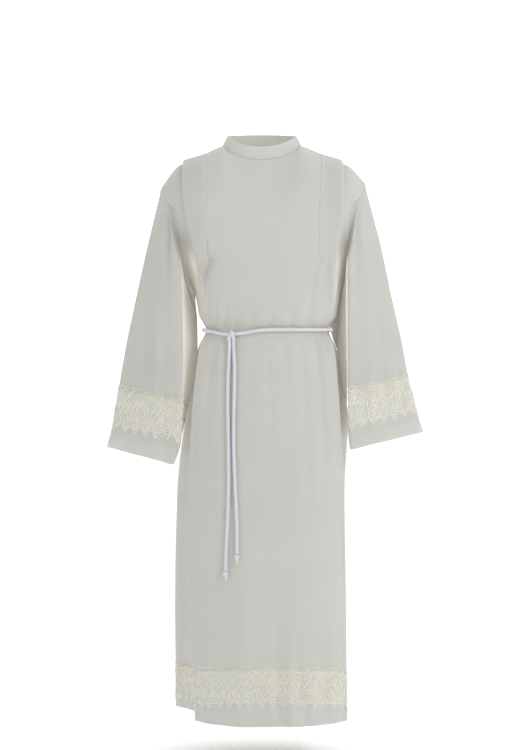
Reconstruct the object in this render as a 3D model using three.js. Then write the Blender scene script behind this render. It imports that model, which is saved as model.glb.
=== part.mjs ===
// Alb with cincture: a long white pleated robe with wide sleeves, a narrow stand
// collar, lace bands at cuffs and hem, and a rope tied round the waist. It keeps the
// hollow form it has when worn. Millimetres, +Z up, the front faces -Y, and the origin
// is at the base of the neck, midway between the shoulders.
import * as THREE from 'three';
import { mergeVertices } from 'three/addons/utils/BufferGeometryUtils.js';

// ---------------------------------------------------------------- driving dimensions
const WALL = 1.6;            // cloth wall
const GAP = 0.4;             // clearance at seams
const LACE = 1.0;            // lace wall
const UNDERARM_Z = -343;     // level of the underarm points
const HEM_Z = -1357;         // hem line
const WAIST_Z = -432;        // level of the cincture
const PLEAT_LAYER = 4.6;     // spacing of the folded layers of a shoulder pleat
const NECK = { x: -3.5, y: 2, halfWidth: 93.5, front: 72, back: 70, zFront: -31.5, zSide: 8, zBack: 14 };
const COLLAR = { height: 31, lean: 13, sideRise: 3, overlap: 0.30, closeAt: 1.18 };
const SHOULDER = {           // outer end of each shoulder seam, and the seam's pleat edge
  left: { tipX: 243, tipZ: -90, stitchX: 138, stitchZ: -9, edgeX: 191, edgeZ: -25 },
  right: { tipX: 243, tipZ: -78, stitchX: 138, stitchZ: -9, edgeX: 190, edgeZ: -25 },
};
const SHOULDER_Y = 5;        // depth of the shoulder seam
const ROUNDING = 0.34;       // share of the upper part over which the shoulder rounds
const CORD = { radius: 4.5, sides: 8, tailRadius: 4.2 };
const KNOT = { x: -74, z: -446 };

// ---------------------------------------------------------------- sections
// Each row is a level. Above the underarm z runs from 0 (top edge) to UNDERARM_Z along
// each column; below it is a true height. X values point away from the centre line.
// e pleat edge, u inner fold, g groove, h side ridge, a armhole edge and side seam.
const COLS = ['z', 'ex', 'ey', 'ux', 'uy', 'gx', 'gy', 'hx', 'hy', 'ax', 'ay'];
const FRONT_LEFT = [
  [0, 191, -84, 142, -92, 185, -70, 204, -62, 243, -33],
  [-34, 190, -86, 142, -93, 184, -71, 203, -62, 220, -36],
  [-69, 189, -88, 142, -94, 182, -72, 198, -62, 206, -48],
  [-137, 184.5, -92, 143, -95, 178, -72, 192, -62, 199, -51],
  [-206, 171, -94, 144, -94, 167, -68, 184, -52, 197, -38],
  [-274, 156, -90, 140, -86, 156, -62, 172, -38, 185, -13],
  [-343, 150, -84, 138, -74, 151, -52, 160, -22, 164, 6],
  [-395, 146, -74, 136, -64, 148, -42, 153, -18, 151, 8],
  [-432, 131, -62, 122, -55, 131, -36, 136, -12, 134, 10],
  [-470, 148, -66, 134, -50, 146, -30, 153, -6, 151, 16],
  [-520, 157, -70, 138, -44, 152, -18, 165, 18, 163, 36],
  [-640, 169, -72, 142, -28, 166, 12, 187, 58, 186, 80],
  [-820, 178, -74, 144, -12, 180, 40, 208, 84, 208, 108],
  [-1100, 174, -74, 140, 0, 184, 60, 215, 104, 214, 128],
  [-1357, 160, -72, 134, 8, 182, 72, 213, 112, 211, 136],
];
const FRONT_RIGHT = [
  [0, 190, -84, 142, -92, 184, -70, 205, -62, 243, -33],
  [-34, 190, -86, 142, -93, 184, -71, 204, -62, 222, -36],
  [-69, 190, -88, 142, -94, 183, -72, 201, -62, 208, -48],
  [-137, 189, -92, 143, -95, 182, -72, 196, -62, 203, -51],
  [-206, 180, -94, 146, -94, 176, -68, 191, -52, 202, -38],
  [-274, 171, -90, 150, -86, 171, -62, 186, -38, 198, -13],
  [-343, 166, -84, 152, -74, 171, -52, 182, -22, 187, 6],
  [-395, 163, -74, 153, -64, 167, -42, 176, -18, 175, 8],
  [-432, 149, -62, 142, -55, 152, -36, 157, -12, 155, 10],
  [-470, 166, -66, 152, -50, 164, -30, 172, -6, 170, 16],
  [-520, 173, -70, 155, -44, 172, -18, 190, 18, 188, 36],
  [-640, 182, -72, 158, -28, 184, 12, 207, 58, 206, 80],
  [-820, 191, -74, 162, -14, 184, 36, 199, 84, 199, 110],
  [-1100, 196, -74, 164, -4, 188, 52, 202, 100, 200, 128],
  [-1357, 198, -72, 166, 2, 190, 60, 204, 108, 201, 136],
];
const BACK_LEFT = [
  [0, 191, 84, 142, 92, 185, 72, 204, 64, 243, 40],
  [-34, 190, 86, 142, 93, 184, 73, 203, 65, 222, 44],
  [-69, 189, 88, 142, 94, 183, 75, 200, 66, 210, 56],
  [-137, 185, 92, 143, 96, 179, 77, 193, 69, 203, 70],
  [-206, 174, 94, 145, 97, 170, 76, 187, 66, 199, 62],
  [-274, 162, 92, 144, 90, 162, 72, 176, 54, 190, 40],
  [-343, 152, 86, 140, 80, 153, 62, 162, 32, 164, 6],
  [-395, 148, 78, 138, 70, 148, 54, 153, 32, 151, 8],
  [-432, 130, 66, 121, 60, 131, 44, 136, 27, 134, 10],
  [-470, 144, 74, 130, 62, 145, 52, 152, 36, 151, 16],
  [-520, 150, 92, 132, 76, 152, 70, 164, 54, 163, 36],
  [-640, 162, 118, 138, 98, 164, 104, 184, 98, 186, 80],
  [-820, 172, 140, 144, 116, 176, 128, 202, 128, 208, 108],
  [-1100, 172, 158, 142, 132, 180, 146, 206, 148, 214, 128],
  [-1357, 170, 170, 140, 142, 178, 154, 204, 158, 211, 136],
];
const BACK_RIGHT = [
  [0, 190, 84, 142, 92, 184, 72, 205, 64, 243, 40],
  [-34, 190, 86, 142, 93, 184, 73, 204, 65, 222, 44],
  [-69, 190, 88, 142, 94, 183, 75, 203, 66, 212, 56],
  [-137, 188, 92, 143, 96, 182, 77, 198, 69, 207, 70],
  [-206, 182, 94, 147, 97, 178, 76, 194, 66, 204, 62],
  [-274, 174, 92, 150, 90, 174, 72, 188, 54, 200, 40],
  [-343, 168, 86, 154, 80, 172, 62, 183, 32, 187, 6],
  [-395, 165, 78, 155, 70, 168, 54, 175, 32, 175, 8],
  [-432, 148, 66, 140, 60, 151, 44, 157, 27, 155, 10],
  [-470, 162, 74, 150, 62, 164, 52, 171, 36, 170, 16],
  [-520, 168, 92, 150, 76, 172, 70, 186, 54, 188, 36],
  [-640, 174, 118, 152, 98, 180, 104, 202, 98, 206, 80],
  [-820, 178, 140, 152, 116, 178, 128, 194, 128, 199, 110],
  [-1100, 182, 158, 154, 132, 182, 146, 196, 148, 200, 128],
  [-1357, 184, 170, 156, 142, 184, 154, 196, 158, 201, 136],
];
// Centre line: x, depth of the front and depth of the back.
const CENTRE = [
  [0, -3, -100, 96],
  [-69, 0, -106, 101],
  [-137, 2, -114, 108],
  [-206, 4, -119, 112],
  [-274, 6, -119, 110],
  [-343, 8, -117, 106],
  [-395, 10, -120, 109],
  [-432, 11, -106, 94],
  [-470, 11, -110, 99],
  [-520, 11, -114, 108],
  [-640, 12, -124, 130],
  [-820, 12, -134, 152],
  [-1100, 12, -144, 174],
  [-1357, 12, -151, 188],
];
// Sleeves: share s of the way from armhole to cuff, then x (outwards), y, z of
// t outer crease, i inner front fold, q underarm edge, k inner back fold.
const SLEEVE_LEFT = [
  [0.25, 280, -2, -246, 200, -73, -272, 158, 4, -408, 205, 70, -286],
  [0.45, 307, -5, -370, 195, -74, -396, 157, -5, -482, 206, 54, -408],
  [0.62, 329, -7, -476, 193, -73, -502, 165, -10, -552, 214, 46, -512],
  [0.764, 344, -8, -563, 193, -71, -592, 179, -12, -612, 226, 43, -598],
  [0.929, 362, -9, -668, 196, -67, -698, 195, -14, -676, 240, 42, -702],
  [1.00, 373, -10, -712, 213, -61, -750, 204, -16, -714, 250, 40, -748],
];
const SLEEVE_RIGHT = [
  [0.25, 283, -2, -232, 202, -73, -258, 180, 8, -404, 209, 70, -272],
  [0.45, 308, -5, -352, 202, -74, -378, 178, -2, -470, 213, 52, -390],
  [0.62, 331, -7, -454, 202, -73, -480, 186, -8, -534, 224, 46, -490],
  [0.764, 347, -8, -538, 202, -71, -566, 195, -12, -590, 236, 43, -574],
  [0.929, 370, -9, -632, 203, -66, -668, 204, -16, -650, 250, 42, -670],
  [1.00, 383, -10, -676, 208, -60, -715, 211, -18, -690, 258, 40, -708],
];
// The right sleeve's back layer swings in behind the waist: how far each back
// column moves (x outwards, y), and the shares of the length over which it does.
const TUCK = { w4: [6, 40], w3: [-25, 66], w2: [-35, 62], w1: [-15, 32], from: 0.42, to: 0.70 };

// ---------------------------------------------------------------- helpers
const lerp = (a, b, t) => a + (b - a) * t;
const clamp01 = (t) => Math.max(0, Math.min(1, t));
const smooth = (t) => { const c = clamp01(t); return c * c * (3 - 2 * c); };
const V = (x, y, z) => new THREE.Vector3(x, y, z);

// Monotone cubic interpolation of every column of a table against its first column.
function sample(rows, key) {
  const up = rows[rows.length - 1][0] > rows[0][0];
  const n = rows.length, k = up ? key : -key;
  const X = rows.map((r) => (up ? r[0] : -r[0]));
  if (k <= X[0]) return rows[0].slice();
  if (k >= X[n - 1]) return rows[n - 1].slice();
  let i = 0;
  while (k > X[i + 1]) i += 1;
  const h = X[i + 1] - X[i], t = (k - X[i]) / h;
  return rows[i].map((_, c) => {
    const slope = (j) => (rows[j + 1][c] - rows[j][c]) / (X[j + 1] - X[j]);
    const tangent = (j) => {
      if (j === 0) return slope(0);
      if (j === n - 1) return slope(n - 2);
      const a = slope(j - 1), b = slope(j);
      return a * b <= 0 ? 0 : (2 * a * b) / (a + b);
    };
    const t2 = t * t, t3 = t2 * t;
    return (2 * t3 - 3 * t2 + 1) * rows[i][c] + (t3 - 2 * t2 + t) * h * tangent(i)
      + (-2 * t3 + 3 * t2) * rows[i + 1][c] + (t3 - t2) * h * tangent(i + 1);
  });
}

// ---------------------------------------------------------------- front and back
// Columns of half a panel, from the centre line to the armhole and side seam.
const HALF = ['c', 'm1', 'm2', 'n', 's', 'se', 'e1', 'e0', 'e2', 'eu', 'u1', 'u0', 'u2', 'ug', 'g', 'h', 'a'];
const ARC = { c: 0, m1: 0.17, m2: 0.34, n: 0.51, s: 0.74, se: 0.87 };

// Named points of half a section at one level: [outward x, y].
function halfSection(side, panel, level) {
  const table = panel === 'front' ? (side === 'left' ? FRONT_LEFT : FRONT_RIGHT)
    : (side === 'left' ? BACK_LEFT : BACK_RIGHT);
  const r = Object.fromEntries(sample(table, level).map((v, i) => [COLS[i], v]));
  const c = sample(CENTRE, level);
  const sign = side === 'left' ? -1 : 1;
  const out = panel === 'front' ? -1 : 1;              // towards the outside in Y
  const cx = c[1] * sign, cy = panel === 'front' ? c[2] : c[3];
  const low = clamp01((UNDERARM_Z - level) / (UNDERARM_Z - HEM_Z));
  const pow = lerp(2.5, 3.4, low);
  const p = {};
  for (const name of Object.keys(ARC)) {
    const f = ARC[name];
    p[name] = [lerp(cx, r.ex, f), lerp(cy, r.ey, f ** pow)];
  }
  // soft folds of the back of the skirt
  if (panel === 'back') {
    const amp = 15 * smooth((WAIST_Z - 20 - level) / 620);
    for (const name of Object.keys(ARC)) {
      const f = ARC[name];
      p[name][1] -= amp * (0.5 - 0.5 * Math.cos(f * 2 * Math.PI / 0.68)) * (side === 'left' ? 1 : 0.8);
    }
  }
  const pleat = 1 - smooth((UNDERARM_Z + 40 - level) / 100); // 1 in the pleat, 0 below it
  const turn = lerp(9, 3, pleat), layer = PLEAT_LAYER * Math.max(pleat, 0.35) * 0.5;
  const dir = (a, b) => { const d = Math.hypot(b[0] - a[0], b[1] - a[1]) || 1; return [(b[0] - a[0]) / d, (b[1] - a[1]) / d]; };
  const e = [r.ex, r.ey], u = [r.ux, r.uy], g = [r.gx, r.gy];
  const eIn = dir(e, p.s), eu = dir(e, u), ug = dir(u, g);
  p.e1 = [e[0] + eIn[0] * turn, e[1] + eIn[1] * turn + out * layer * pleat];
  p.e0 = e;
  p.e2 = [e[0] + eu[0] * turn, e[1] + eu[1] * turn - out * layer];
  p.u1 = [u[0] - eu[0] * turn, u[1] - eu[1] * turn + out * layer * 0.5];
  p.u0 = [u[0], u[1] - out * layer];
  p.u2 = [u[0] + ug[0] * turn, u[1] + ug[1] * turn - out * layer * 1.5];
  const mid = (a, b, bend) => [(a[0] + b[0]) / 2, (a[1] + b[1]) / 2 + bend];
  p.eu = mid(p.e2, p.u1, 0);
  p.g = g;
  p.ug = mid(p.u2, p.g, out * lerp(3, -1, pleat));
  p.h = [r.hx, r.hy];
  p.a = [r.ax, r.ay];
  return p;
}

// Point of a column on the neckline and shoulder seam.
function topPoint(side, panel, name, xy) {
  const s = SHOULDER[side], sign = side === 'left' ? -1 : 1;
  const neckArc = { c: 0, m1: 0.34, m2: 0.67, n: 1 };
  if (name in neckArc) {
    const al = neckArc[name] * Math.PI / 2;
    const depth = panel === 'front' ? -NECK.front : NECK.back;
    const zc = panel === 'front' ? NECK.zFront : NECK.zBack;
    return [NECK.x * sign + NECK.halfWidth * Math.sin(al), NECK.y + depth * Math.cos(al),
      lerp(NECK.zSide, zc, Math.cos(al) ** 1.4)];
  }
  const neckX = NECK.x * sign + NECK.halfWidth;
  const x = name === 's' ? s.stitchX : xy[0];
  // the seam falls from the neck to the stitch line, the pleat edge and the tip
  const under = ['u1', 'u0', 'u2', 'ug', 'g', 'h', 'a'].includes(name);
  let z;
  if (x <= s.stitchX) z = lerp(NECK.zSide, s.stitchZ, (x - neckX) / (s.stitchX - neckX));
  else if (x <= s.edgeX) z = lerp(s.stitchZ, s.edgeZ, (x - s.stitchX) / (s.edgeX - s.stitchX));
  else { const f = (x - s.edgeX) / (s.tipX - s.edgeX); z = lerp(s.edgeZ - 8, s.tipZ, 0.42 * f + 0.58 * f * f * f); }
  if (under && x <= s.edgeX) z -= lerp(1.2, 2.3, clamp01((x - s.stitchX) / 50)) * PLEAT_LAYER * 0.9;
  if (name === 'e2' || name === 'eu' || name === 'e0') z -= (name === 'e0' ? 0.5 : 1) * PLEAT_LAYER;
  if (name === 'u1') z += PLEAT_LAYER * 0.4;
  return [x, SHOULDER_Y, z];
}

const GRID_LEVELS = [0, -9, -25, -50, -90, -137, -206, -274, -343, -395, -432, -470, -520, -640, -820, -1100];
// Lace lines above the hem, by how far a column is from the centre: the band dips at
// the creases.
function laceLine(edge, panel, f) {
  const w = Math.min(1, f / 0.5);
  const dip = panel === 'front' ? 30 * w * w : 22 * w * w;
  return (edge === 'top' ? -1215 : -1312) - dip;
}
function columnPoint(side, panel, name, f, level) {
  const sign = side === 'left' ? -1 : 1;
  const xy = halfSection(side, panel, level)[name];
  if (level < UNDERARM_Z) return V(xy[0] * sign, xy[1], level);
  const t = level / UNDERARM_Z;
  const top = topPoint(side, panel, name, halfSection(side, panel, 0)[name]);
  const z = lerp(top[2], UNDERARM_Z, t);
  const slow = { c: [0.55, 1.3], m1: [0.5, 1.2], m2: [0.41, 1.06] }[name] || [ROUNDING, 1];
  const q = clamp01(t / slow[0]);
  const y = lerp(top[1], xy[1], Math.sqrt(1 - (1 - q) * (1 - q)) ** slow[1]);
  const x = lerp(top[0], xy[0], smooth(t / 0.3));
  return V(x * sign, y, z);
}

// Grid of middle-surface points: rows from top edge to hem, columns from the side seam
// on the left round to the side seam on the right.
function panelGrid(panel) {
  const names = [];
  for (let i = HALF.length - 1; i >= 0; i -= 1) names.push(['left', HALF[i], i / (HALF.length - 1)]);
  for (let i = 1; i < HALF.length; i += 1) names.push(['right', HALF[i], i / (HALF.length - 1)]);
  const rows = GRID_LEVELS.map((level) => names.map(([s, n, f]) => columnPoint(s, panel, n, f, level)));
  for (const edge of ['top', 'bottom', 'hem']) {
    rows.push(names.map(([s, n, f]) => columnPoint(s, panel, n, f,
      edge === 'hem' ? HEM_Z : laceLine(edge, panel, f))));
  }
  return rows;
}

// ---------------------------------------------------------------- walls from grids
function gridNormals(grid, wrap) {
  const R = grid.length, C = grid[0].length, normals = [];
  for (let r = 0; r < R; r += 1) {
    const line = [];
    for (let c = 0; c < C; c += 1) {
      const n = V(0, 0, 0);
      const at = (rr, cc) => grid[rr][wrap ? (cc + C) % C : cc];
      for (const [dr, dc] of [[1, 1], [1, -1], [-1, 1], [-1, -1]]) {
        const rr = r + dr, cc = c + dc;
        if (rr < 0 || rr >= R || (!wrap && (cc < 0 || cc >= C))) continue;
        const a = at(rr, c).clone().sub(at(r, c)), b = at(r, cc).clone().sub(at(r, c));
        const k = a.cross(b);
        if (k.lengthSq() > 1e-9) n.add(k.normalize().multiplyScalar(dr * dc));
      }
      line.push(n.lengthSq() > 1e-12 ? n.normalize() : V(0, 0, 1));
    }
    normals.push(line);
  }
  return normals;
}
// Closed wall between two offsets of a grid. Offsets are along the grid's normals.
function wallGeometry(grid, lo, hi, wrap) {
  const R = grid.length, C = grid[0].length, N = gridNormals(grid, wrap);
  const pos = [], idx = [];
  for (const off of [hi, lo]) {
    for (let r = 0; r < R; r += 1) for (let c = 0; c < C; c += 1) {
      const p = grid[r][c].clone().addScaledVector(N[r][c], off);
      pos.push(p.x, p.y, p.z);
    }
  }
  const id = (k, r, c) => k * R * C + r * C + ((c + C) % C);
  const quad = (a, b, c, d) => idx.push(a, b, c, a, c, d);
  const last = wrap ? C : C - 1;
  for (let r = 0; r < R - 1; r += 1) for (let c = 0; c < last; c += 1) {
    quad(id(0, r, c), id(0, r + 1, c), id(0, r + 1, c + 1), id(0, r, c + 1));
    quad(id(1, r, c), id(1, r, c + 1), id(1, r + 1, c + 1), id(1, r + 1, c));
  }
  for (let c = 0; c < last; c += 1) {
    quad(id(0, 0, c), id(0, 0, c + 1), id(1, 0, c + 1), id(1, 0, c));
    quad(id(0, R - 1, c + 1), id(0, R - 1, c), id(1, R - 1, c), id(1, R - 1, c + 1));
  }
  if (!wrap) {
    for (let r = 0; r < R - 1; r += 1) {
      quad(id(0, r + 1, 0), id(0, r, 0), id(1, r, 0), id(1, r + 1, 0));
      quad(id(0, r, C - 1), id(0, r + 1, C - 1), id(1, r + 1, C - 1), id(1, r, C - 1));
    }
  }
  const g = new THREE.BufferGeometry();
  g.setAttribute('position', new THREE.Float32BufferAttribute(pos, 3));
  g.setIndex(idx);
  return g;
}
// Faces out: a negative volume means the winding is the other way round.
function outward(geometry) {
  const g = mergeVertices(geometry, 1e-4), p = g.attributes.position, ix = g.index.array;
  let volume = 0;
  const a = V(0, 0, 0), b = V(0, 0, 0), c = V(0, 0, 0);
  for (let i = 0; i < ix.length; i += 3) {
    a.fromBufferAttribute(p, ix[i]); b.fromBufferAttribute(p, ix[i + 1]); c.fromBufferAttribute(p, ix[i + 2]);
    volume += a.dot(b.cross(c));
  }
  if (volume < 0) for (let i = 0; i < ix.length; i += 3) { const k = ix[i]; ix[i] = ix[i + 1]; ix[i + 1] = k; }
  return g;
}

const group = new THREE.Group();
function addMesh(name, geometry, color, roughness) {
  const mesh = new THREE.Mesh(outward(geometry), new THREE.MeshStandardMaterial({ color, roughness, metalness: 0 }));
  mesh.name = name;
  group.add(mesh);
  return mesh;
}
const CLOTH = 0xe9e8e2, IVORY = 0xe6e3cd, ROPE = 0xe8e8ee;

// ---------------------------------------------------------------- panels and hem lace
// Seam edges are drawn back by half a gap so that neighbours stay apart.
function drawBack(grid, first, last, top, amount) {
  const R = grid.length, C = grid[0].length;
  for (let r = 0; r < R; r += 1) {
    if (first) grid[r][0].add(grid[r][1].clone().sub(grid[r][0]).setLength(amount));
    if (last) grid[r][C - 1].add(grid[r][C - 2].clone().sub(grid[r][C - 1]).setLength(amount));
  }
  if (top) for (let c = 0; c < C; c += 1) grid[0][c].add(grid[1][c].clone().sub(grid[0][c]).setLength(amount));
  return grid;
}
const armholes = {};
for (const panel of ['front', 'back']) {
  const raw = panelGrid(panel);
  const under = GRID_LEVELS.indexOf(UNDERARM_Z);
  armholes[panel] = {
    left: raw.slice(0, under + 1).map((row) => row[0].clone()),
    right: raw.slice(0, under + 1).map((row) => row[row.length - 1].clone()),
    leftOut: raw.slice(0, under + 1).map((row) => row[0].clone().sub(row[1]).normalize()),
    rightOut: raw.slice(0, under + 1).map((row) => row[row.length - 1].clone().sub(row[row.length - 2]).normalize()),
  };
  const grid = drawBack(raw, true, true, true, WALL * 0.5 + GAP + 0.2);
  addMesh(panel, wallGeometry(grid, -WALL / 2, WALL / 2, false), CLOTH, 0.82);
  const n = grid.length, N = gridNormals(grid, false);
  // the side of the wall that faces away from the wearer
  const mid = grid[n - 1][Math.floor(grid[0].length / 2)], nn = N[n - 1][Math.floor(grid[0].length / 2)];
  const out = Math.sign(nn.y * (mid.y < 0 ? -1 : 1)) || 1;
  const band = grid.slice(n - 3, n - 1);
  const bandN = N.slice(n - 3, n - 1);
  const lo = WALL / 2 + GAP, hi = lo + LACE;
  const lifted = band.map((row, r) => row.map((p, c) => p.clone().addScaledVector(bandN[r][c], out * (lo + hi) / 2)));
  addMesh(`lace_hem_${panel}`, wallGeometry(lifted, -LACE / 2, LACE / 2, false), IVORY, 0.9);
}

// ---------------------------------------------------------------- sleeves
// Ring columns, each starting at a level of the armhole's front or back edge.
const RING = [
  ['t', 'F', 0], ['f1', 'F', -9], ['f2', 'F', -25], ['i', 'F', -50], ['d1', 'F', -90], ['d2', 'F', -137],
  ['d3', 'F', -206], ['d4', 'F', -274], ['q', 'F', -343], ['w4', 'B', -274], ['w3', 'B', -206],
  ['w2', 'B', -137], ['w1', 'B', -90], ['k', 'B', -50], ['b1', 'B', -25], ['b2', 'B', -9],
];
function sleeveRing(side, s) {
  const sign = side === 'left' ? -1 : 1;
  const hole = RING.map(([, h, level]) => armholes[h === 'F' ? 'front' : 'back'][side][GRID_LEVELS.indexOf(level)].clone());
  const rows = side === 'left' ? SLEEVE_LEFT : SLEEVE_RIGHT;
  const form = (key) => {
    const r = sample(rows, key);
    const P = (i) => V(r[i] * sign, r[i + 1], r[i + 2]);
    const t = P(1), i = P(4), q = P(7), k = P(10);
    const bow = (a, b, f, amount) => a.clone().lerp(b, f).add(V(0, amount, 0));
    const side4 = (a, b, f, dx, dy) => a.clone().lerp(b, f).add(V(sign * dx, dy, 0));
    const at = {
      t, f1: bow(t, i, 0.33, -13), f2: bow(t, i, 0.68, -11), i,
      d1: side4(i, q, 0.2, 0, 1), d2: side4(i, q, 0.4, 2, 2), d3: side4(i, q, 0.6, 1, 2), d4: side4(i, q, 0.8, 0, 1), q,
      w4: side4(q, k, 0.2, 0, 1), w3: side4(q, k, 0.4, 0, 2), w2: side4(q, k, 0.6, 1, 3), w1: side4(q, k, 0.8, 0, 2), k,
      b1: bow(k, t, 0.33, 10), b2: bow(k, t, 0.68, 10),
    };
    const tuck = side === 'right' ? smooth(s / rows[0][0]) * (1 - smooth((key - TUCK.from) / (TUCK.to - TUCK.from))) : 0;
    for (const n of ['w4', 'w3', 'w2', 'w1']) {
      // the ring is later drawn back by u, so the early steps take the move in full
      const share = s > 0 && s < rows[0][0] ? tuck / (s / rows[0][0]) : tuck;
      at[n].add(V(TUCK[n][0] * share, TUCK[n][1] * share, 0));
    }
    return RING.map(([n]) => at[n]);
  };
  if (s >= rows[0][0]) return form(s);
  const f = form(rows[0][0]);
  // past the armhole the inner face of the sleeve first stands out from the side
  const u = Math.max(0, s) / rows[0][0], stand = 9 * Math.sin(Math.PI * Math.sqrt(u));
  return hole.map((p, c) => {
    const [name, h, level] = RING[c];
    p.lerp(f[c], u);
    if (/^[dwq]/.test(name)) {
      const away = armholes[h === 'F' ? 'front' : 'back'][`${side}Out`][GRID_LEVELS.indexOf(level)];
      if (name !== 'q') p.addScaledVector(away, stand); else p.z -= stand * 0.5;
    }
    return p;
  });
}
const SLEEVE_STEPS = [0, 0.05, 0.10, 0.17, 0.25, 0.35, 0.45, 0.62, 0.764, 0.929, 1.0];
for (const side of ['left', 'right']) {
  const grid = SLEEVE_STEPS.map((s) => sleeveRing(side, s));
  // the head of the sleeve stands off the armhole edge, away from the panel
  const head = WALL * 0.5 + GAP + 0.9;
  grid[0].forEach((p, c) => {
    const [name, h, level] = RING[c];
    const away = armholes[h === 'F' ? 'front' : 'back'][`${side}Out`][GRID_LEVELS.indexOf(level)].clone();
    const on = grid[1][c].clone().sub(p).normalize();
    p.addScaledVector(name === 'q' || name === 't' ? on : away.add(on).normalize(), head);
    if (name === 'q') p.add(V(side === 'left' ? -1.6 : 1.6, 0, -2));
  });
  addMesh(`sleeve_${side}`, wallGeometry(grid, -WALL / 2, WALL / 2, true), CLOTH, 0.82);
  const N = gridNormals(grid, true), a = SLEEVE_STEPS.indexOf(0.764), b = SLEEVE_STEPS.indexOf(0.929);
  const c0 = grid[a][1].clone().sub(grid[a].reduce((m, p) => m.add(p), V(0, 0, 0)).multiplyScalar(1 / RING.length));
  const out = Math.sign(c0.dot(N[a][1])) || 1;
  const lift = WALL / 2 + GAP + LACE / 2;
  const band = [];
  for (let r = a; r <= b; r += 1) band.push(grid[r].map((p, c) => p.clone().addScaledVector(N[r][c], out * lift)));
  addMesh(`lace_sleeve_${side}`, wallGeometry(band, -LACE / 2, LACE / 2, true), IVORY, 0.9);
}

// ---------------------------------------------------------------- collar
// A strip that goes once round the neck and overlaps itself at the wearer's left.
{
  const steps = 30, rows = 2, grid = [];
  const start = COLLAR.closeAt, turn = Math.PI * 2 + COLLAR.overlap;
  for (let r = 0; r < rows; r += 1) {
    const v = r / (rows - 1), line = [];
    for (let i = 0; i <= steps; i += 1) {
      // angle from the centre front, positive to the wearer's left
      const a = start + turn * (i / steps);
      const cosA = Math.cos(a), sinA = Math.sin(a);
      const depth = cosA > 0 ? -NECK.front : NECK.back;
      const zc = cosA > 0 ? NECK.zFront : NECK.zBack;
      const shrink = 1 - (COLLAR.lean / NECK.halfWidth) * v;
      const layer = 1 + 0.030 * smooth((i / steps - 0.80) / 0.2);
      const z0 = lerp(NECK.zSide, zc, Math.abs(cosA) ** 1.4) + WALL * 0.5 + GAP + 1.4;
      const h = COLLAR.height - 7 * (1 - Math.abs(cosA)) - (cosA < 0 ? 4 * -cosA : 0);
      line.push(V(NECK.x + NECK.halfWidth * sinA * shrink * layer, NECK.y + depth * Math.abs(cosA) * shrink * layer, z0 + h * v));
    }
    grid.push(line);
  }
  addMesh('collar', wallGeometry(grid, -WALL / 2, WALL / 2, false), CLOTH, 0.82);
}

// ---------------------------------------------------------------- cincture
function tube(points, radius, sides, closed) {
  const curve = new THREE.CatmullRomCurve3(points, closed, 'centripetal');
  const shape = new THREE.Shape();
  for (let i = 0; i < sides; i += 1) {
    const a = (i / sides) * Math.PI * 2, p = [radius * Math.cos(a), radius * Math.sin(a)];
    if (i === 0) shape.moveTo(...p); else shape.lineTo(...p);
  }
  shape.closePath();
  const length = curve.getLength();
  const steps = Math.min(closed ? 84 : 44, Math.round(length / (radius * 2 * 1.9)));
  const g = new THREE.ExtrudeGeometry(shape, { steps, extrudePath: curve, bevelEnabled: false, curveSegments: 1 });
  g.deleteAttribute('normal'); g.deleteAttribute('uv');
  return g;
}
// Waist line: the widest points of front and back, joined by a smooth loop.
const waist = [];
{
  const ring = [];
  for (const [panel, side, names] of [
    ['front', 'left', ['c', 'm1', 'm2', 'n', 's', 'se', 'e0', 'h', 'a']],
    ['back', 'left', ['h', 'e0', 'se', 's', 'n', 'm2', 'm1', 'c']],
    ['back', 'right', ['m1', 'm2', 'n', 's', 'se', 'e0', 'h', 'a']],
    ['front', 'right', ['h', 'e0', 'se', 's', 'n', 'm2', 'm1']],
  ]) for (const n of names) ring.push(columnPoint(side, panel, n, 0, WAIST_Z));
  const off = CORD.radius + WALL / 2 + 3.3, m = ring.length;
  for (let i = 0; i < m; i += 1) {
    const d = ring[(i + 1) % m].clone().sub(ring[(i - 1 + m) % m]);
    const n = V(-d.y, d.x, 0).normalize();
    if (n.dot(V(ring[i].x - 11, ring[i].y, 0)) < 0) n.negate();
    const p = ring[i].clone().addScaledVector(n, off);
    if (p.y < -40) p.z -= 13 * Math.exp(-(((p.x - KNOT.x) / 46) ** 2));
    waist.push(p);
  }
}
const knotY = waist.reduce((b, p) => (p.y < 0 && Math.abs(p.x - KNOT.x) < Math.abs(b.x - KNOT.x) ? p : b), waist[0]).y;
// The loop is open at the knot, where both its ends stop against it.
{
  const cut = 13, i0 = waist.findIndex((p) => p.y < -40 && p.x < KNOT.x - cut);
  const order = [];
  for (let i = 0; i < waist.length; i += 1) {
    const p = waist[(i0 + i) % waist.length];
    if (!(p.y < -40 && Math.abs(p.x - KNOT.x) < cut + 6)) order.push(p.clone());
  }
  const z = KNOT.z + 2;
  order.unshift(V(KNOT.x - cut, knotY, z));
  order.push(V(KNOT.x + cut, knotY - 0.6, z));
  addMesh('cincture_waist', tube(order, CORD.radius, CORD.sides, false), ROPE, 0.7);
}
// Knot: one fat rounded turn, taller than wide.
{
  const g = new THREE.SphereGeometry(1, 12, 8);
  g.deleteAttribute('normal'); g.deleteAttribute('uv');
  g.scale(11.6, 9, 13.5);
  g.translate(KNOT.x, knotY - 3.2, KNOT.z);
  addMesh('cincture_knot', g, ROPE, 0.7);
}
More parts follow.
